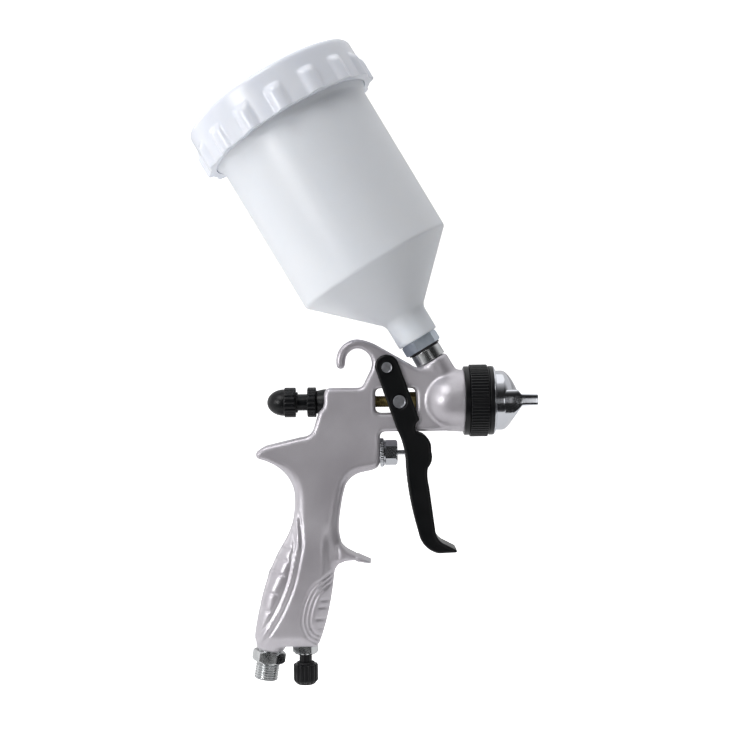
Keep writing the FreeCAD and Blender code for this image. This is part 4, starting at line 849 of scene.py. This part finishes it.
hex_low, hex_high, hex_radius = span("cup_adapter", CUP_LINE)
hex_top = gasket_high + 6.2
adapter_hex = hexed(hex_radius, 8, last=hex_top + 0.02, turn=math.radians(50))
adapter = turned("cup_adapter_hex", [
    (hex_low, 5.0), (hex_low, hex_radius - 1.0, 0.1), (hex_low + 0.7, hex_radius, 0.1),
    (hex_top - 0.7, hex_radius, 0.1), (hex_top, hex_radius - 1.0, 0.1), (hex_top + 0.02, 7.4),
    (hex_high, 7.4), (hex_high, 5.0)], CUP_LINE, adapter_hex, columns=144, step=0.8, sharp=25)

# Zinc-plated steel with a blue passivation: grey-blue, soft sheen.
blue_zinc, _, _ = mottled("steel_zinc_blue_passivated", 3, 5.0, ("#AEB9C6", "#D3DBE4"), (0.3, 0.45),
                          Metallic=0.85)
settle(adapter, blue_zinc, "cup", "steel", "cup_adapter")

# ----------------------------------------
# Paint cup: blown from natural polypropylene, milky and translucent, with a round neck, a cone and
# a straight wall. Its rim stands inside the lid.
# ----------------------------------------
cup_low, cup_high, cup_rim = span("paint_cup", CUP_LINE)
lid_low, lid_high, lid_reach = span("cup_lid", CUP_LINE)
CUP_RADIUS = cup_rim - 2.6
NECK_RADIUS = 12.0
CUP_WALL = 2.0
neck_top = cup_low + 14.6
cone_top = neck_top + 31.8
inner_rim = cup_rim - CUP_WALL
inner_wall = CUP_RADIUS - CUP_WALL
inner_neck = NECK_RADIUS - CUP_WALL
cup = turned("paint_cup_shell", [
    (cup_low, 7.6), (cup_low, NECK_RADIUS - 0.4, 0.5), (cup_low + 1.0, NECK_RADIUS, 0.5),
    (neck_top, NECK_RADIUS, 2.6), (cone_top, CUP_RADIUS, 1.1), (lid_low - 3, CUP_RADIUS, 1.5),
    (lid_low + 0.5, cup_rim, 0.6), (cup_high, cup_rim, 0.5), (cup_high, inner_rim, 0.5),
    (lid_low + 1, inner_rim, 0.6), (lid_low - 2.5, inner_wall, 1.5), (cone_top + 0.8, inner_wall, 1.0),
    (neck_top + 0.8, inner_neck, 2.2), (cup_low + 10, inner_neck, 0.3), (cup_low + 10, 7.6)],
    CUP_LINE, columns=160, step=2.0)

# Natural polypropylene, blow moulded: milky white that light soaks into, cool in the shade, with a
# soft gloss and the faint waves of the blown wall.
milky, polymer, _ = mottled(
    "polypropylene_blown_natural", 40, 2.0, ("#E8EEFA", "#F1F5FD"), (0.26, 0.38), Roughness=0.3, IOR=1.49,
    Subsurface_Weight=0.55, Subsurface_Radius=(0.9, 0.95, 1.0), Subsurface_Scale=4 * MM)
tree = milky.node_tree
spot = add(tree, "ShaderNodeTexCoord").outputs["Object"]
blown = add(tree, "ShaderNodeTexNoise", {"Vector": spot, "Scale": 1 / (14 * MM), "Detail": 1.0})
waves = add(tree, "ShaderNodeBump", {
    "Height": blown.outputs["Fac"], "Strength": 0.15, "Distance": 0.4 * MM})
tree.links.new(waves.outputs["Normal"], polymer.inputs["Normal"])
settle(cup, milky, "cup", "cup_plastic", "paint_cup")

# ----------------------------------------
# Lid: moulded from the same plastic, screwed onto the cup. Sixteen lugs stand out from its skirt
# for the hand, and a vent plug sits in the middle of the top.
# ----------------------------------------
LUGS = 16
LUG_RADIUS = 7.0
LID_RADIUS = lid_reach - 2.3
LUG_HEIGHT = 14.5
LID_EDGE = 3.4


def lugged(along, radius, angle):
    """Each lug is a circle whose middle stands inside the skirt: its radius at an angle from the lug's
    middle is the far root of the circle's equation. It ends in a soft step below the lid's edge."""
    centre = lid_reach - LUG_RADIUS
    swing = (angle + math.pi / LUGS) % (2 * math.pi / LUGS) - math.pi / LUGS
    inside = np.maximum(LUG_RADIUS ** 2 - (centre * np.sin(swing)) ** 2, 0)
    lug = np.where(inside > 0, centre * np.cos(swing) + np.sqrt(inside), 0)
    rise = np.maximum(lug - LID_RADIUS, 0)
    rise = 1.3 * rise ** 2 / (rise + 0.8)
    fade = 1 - smooth_step(along, lid_low + LUG_HEIGHT - 3.5, lid_low + LUG_HEIGHT + 0.5)
    skirt = smooth_step(radius, LID_RADIUS - 0.8, LID_RADIUS - 0.1)
    return along, radius + rise * fade * skirt


HOLLOW = cup_rim + 0.3
lug_end = lid_low + LUG_HEIGHT
lid = turned("cup_lid_shell", [
    (lid_low, HOLLOW), (lid_low, LID_RADIUS, 0.4), (lug_end - 1.0, LID_RADIUS, 0.05),
    (lug_end + 0.3, LID_RADIUS, 0.05), (lid_high, LID_RADIUS, LID_EDGE), (lid_high, LID_RADIUS - 6, 0.6),
    (lid_high - 0.7, LID_RADIUS - 7, 0.6), (lid_high - 0.7, 9, 0.4), (lid_high, 8, 0.4),
    (lid_high, 3.0, 0.1), (cup_high + 1.0, 3.0), (cup_high + 1.0, HOLLOW)],
    CUP_LINE, lugged, columns=LUGS * 24, step=1.4, sharp=32)

# Natural polypropylene, injection moulded: the cup's milky white with a tighter gloss.
lid_plastic, _, _ = mottled(
    "polypropylene_moulded_natural", 25, 2.0, ("#E4E8F3", "#EFF2FA"), (0.17, 0.28), Roughness=0.22,
    IOR=1.49, Subsurface_Weight=0.45, Subsurface_Radius=(0.9, 0.95, 1.0), Subsurface_Scale=3 * MM)
settle(lid, lid_plastic, "lid", "lid_plastic", "cup_lid")
vent_low, vent_high, vent_radius = span("drip_vent", CUP_LINE)
vent = turned("vent_plug", [
    (vent_low, 0), (vent_low, 2.9), (lid_high, 2.9), (lid_high, vent_radius, 0.2),
    (vent_high, vent_radius, 0.9), (vent_high, 1.2, 0.3), (vent_high - 0.5, 0.9, 0.2),
    (vent_high - 0.5, 0)], CUP_LINE, columns=64, closed=False, step=0.8)
settle(vent, lid_plastic, "lid", "lid_plastic", "drip_vent")

# ----------------------------------------
# Air inlet: a plated hex with a quarter-inch pipe thread for the hose, at the foot of the grip.
# ----------------------------------------
INLET_LINE = (inlet_end, inlet_way, np.array([-inlet_way[2], 0, inlet_way[0]]))
_, inlet_tip, inlet_radius = span("air_inlet", INLET_LINE)
THREAD = 6.58
THREAD_PITCH = 1.34
thread_top = inlet_tip - 9.8
hex_start = thread_top - 6.0
inlet_hex = hexed(inlet_radius, THREAD + 0.5, hex_start - 0.05, thread_top + 0.05)
cut_thread = threaded(thread_top + 1.2, inlet_tip - 0.6, THREAD_PITCH, 0.6, THREAD)


def inlet_shape(along, radius, angle):
    """The middle is cut to a hexagon with its corners turned off, and the end carries the thread."""
    return inlet_hex(*cut_thread(along, radius, angle), angle)


inlet_piece = turned("air_inlet_nipple", [
    (hex_start - 3, 3.5), (hex_start - 3, THREAD), (hex_start, THREAD),
    (hex_start + 0.05, inlet_radius - 0.9, 0.1), (hex_start + 0.7, inlet_radius, 0.1),
    (thread_top - 0.7, inlet_radius, 0.1), (thread_top, inlet_radius - 0.9, 0.1),
    (thread_top + 0.05, THREAD - 0.7, 0.1), (thread_top + 1.1, THREAD - 0.7, 0.1),
    (thread_top + 1.3, THREAD, 0.1), (inlet_tip - 0.6, THREAD, 0.1), (inlet_tip, THREAD - 0.7, 0.1),
    (inlet_tip, 3.5, 0.2)], INLET_LINE, inlet_shape, columns=120, step=0.1, sharp=50)
settle(inlet_piece, nickel, "body", "steel", "air_inlet")

# ----------------------------------------
# Air pressure valve: a plated hex gland with a black stem and a black knob, whose ridges run down
# to a chamfer.
# ----------------------------------------
gland_top, gland_low, gland_radius = span("meter_body", METER_LINE)
gland_hex = hexed(gland_radius, 5, first=-FOOT - 0.05)
gland = turned("meter_gland_hex", [
    (gland_top, 3.6), (gland_top, 4.5), (-FOOT, 4.5), (-FOOT + 0.05, gland_radius - 0.6, 0.1),
    (-FOOT + 0.6, gland_radius, 0.1), (gland_low - 1.2, gland_radius, 0.2),
    (gland_low, gland_radius - 1.6, 0.5), (gland_low, 3.6)],
    METER_LINE, gland_hex, columns=144, step=0.8, sharp=25)
settle(gland, nickel, "body", "chrome", "meter_body")
shaft_top, shaft_low, shaft_radius = span("meter_stem", METER_LINE)
splined = ridged(14, 0.16, 3.0, 3.0001)
shaft = turned("meter_stem_black", [
    (shaft_top, 0), (shaft_top, 1.1), (shaft_top + 4, shaft_radius), (shaft_low, shaft_radius, 0.1),
    (shaft_low, 0)], METER_LINE, splined, columns=112, closed=False, step=0.8)
settle(shaft, black_anodised, "meter_knob", "black_anodised", "meter_stem")
grip_top, grip_low, grip_radius = span("meter_knob", METER_LINE)
METER_RIDGES = 16
grip_ridges = ridged(METER_RIDGES, 0.7, grip_radius - 1.6, grip_radius - 0.5, 2.0, 2)
meter_grip = turned("meter_knob_black", [
    (grip_top, 3.55), (grip_top, grip_radius - 0.5, 0.3), (grip_top + 0.5, grip_radius, 0.3),
    (grip_low - 2.2, grip_radius, 0.4), (grip_low, grip_radius - 2.0, 0.5), (grip_low, 0)],
    METER_LINE, grip_ridges, columns=METER_RIDGES * 14, closed=False, step=0.8)

# Acetal, moulded: black with a waxy gloss.
acetal, _, _ = mottled("acetal_moulded_black", 2.5, 4.0, ("#060708", "#101114"), (0.24, 0.42),
                       IOR=1.48, Specular_IOR_Level=0.3)
settle(meter_grip, acetal, "meter_knob", "black_anodised", "meter_knob")

# ----------------------------------------
# Fan width valve on the left side: a plated gland, a steel stem and a ridged black knob.
# ----------------------------------------
FAN_LINE = (np.array([fan[0], 0, fan[2]]), np.array([0, 1.0, 0]), np.array([0, 0, 1.0]))
seat_in, seat_out, fan_gland = span("fan_valve_body", FAN_LINE)
fan_in, fan_out, fan_reach = span("fan_valve_knob", FAN_LINE)
FAN_RIDGES = 24
fan_seat = turned("fan_gland_chrome", [
    (seat_in, 2.1), (seat_in, 4.0), (9, 4.0), (9, fan_gland, 0.3), (seat_out, fan_gland, 0.6),
    (seat_out, 2.1)],
    FAN_LINE, columns=96, step=0.8)
settle(fan_seat, brushed_chrome, "body", "chrome", "fan_valve_body")
fan_ridged = ridged(FAN_RIDGES, 0.5, fan_reach - 1.2, fan_reach - 0.4)
fan_grip = turned("fan_knob_black", [
    (fan_in, 2.05), (fan_in, fan_reach, 0.5), (fan_out, fan_reach, 1.5), (fan_out, fan_reach - 3, 0.4),
    (fan_out - 0.4, fan_reach - 3.6, 0.3), (fan_out - 0.4, 0)],
    FAN_LINE, fan_ridged, columns=FAN_RIDGES * 10, closed=False, step=0.8)
settle(fan_grip, acetal, "fan_knob", "black_anodised", "fan_valve_knob")

# ----------------------------------------
# Pieces that keep their CAD shape: those inside the gun, and its seals. Each takes the finish of
# its real material.
# ----------------------------------------
# PTFE, turned: waxy white with no gloss.
ptfe, _, _ = mottled("ptfe_turned", 2, 3.0, ("#D9D9D4", "#F1F1EE"), Roughness=0.5)

# Nylon gauze, woven: a square weave of threads 0.4 mm apart, drawn at that pitch.
gauze, nylon = finish_named("nylon_gauze_woven", Roughness=0.55)
tree = gauze.node_tree
spot = add(tree, "ShaderNodeTexCoord").outputs["Object"]
warp = add(tree, "ShaderNodeTexWave", {"Vector": spot, "Scale": 1 / (2.4 * MM)}, bands_direction="X")
weft = add(tree, "ShaderNodeTexWave", {"Vector": spot, "Scale": 1 / (2.4 * MM)}, bands_direction="Z")
woven = add(tree, "ShaderNodeMath", {0: warp.outputs["Fac"], 1: weft.outputs["Fac"]},
            operation="MULTIPLY")
tone = add(tree, "ShaderNodeMix", {
    "Factor": woven.outputs[0], "A": linear("#8C96A3"), "B": linear("#D6DCE4")}, data_type="RGBA")
tree.links.new(tone.outputs["Result"], nylon.inputs["Base Color"])

KEPT = {
    "fluid_nozzle": bright_steel, "air_ring": acetal, "fluid_needle": nickel, "packing_seal": ptfe,
    "needle_spring": bright_steel, "knob_seal": rubber, "valve_seat": ptfe, "valve_plunger": dull_brass,
    "valve_spring": bright_steel, "cup_filter": gauze, "lid_seal": ptfe, "meter_seal": rubber,
    "fan_valve_stem": bright_steel,
}
for node, finish in KEPT.items():
    kept = frame["nodes"][node]
    kept.data.materials.clear()
    kept.data.materials.append(finish)
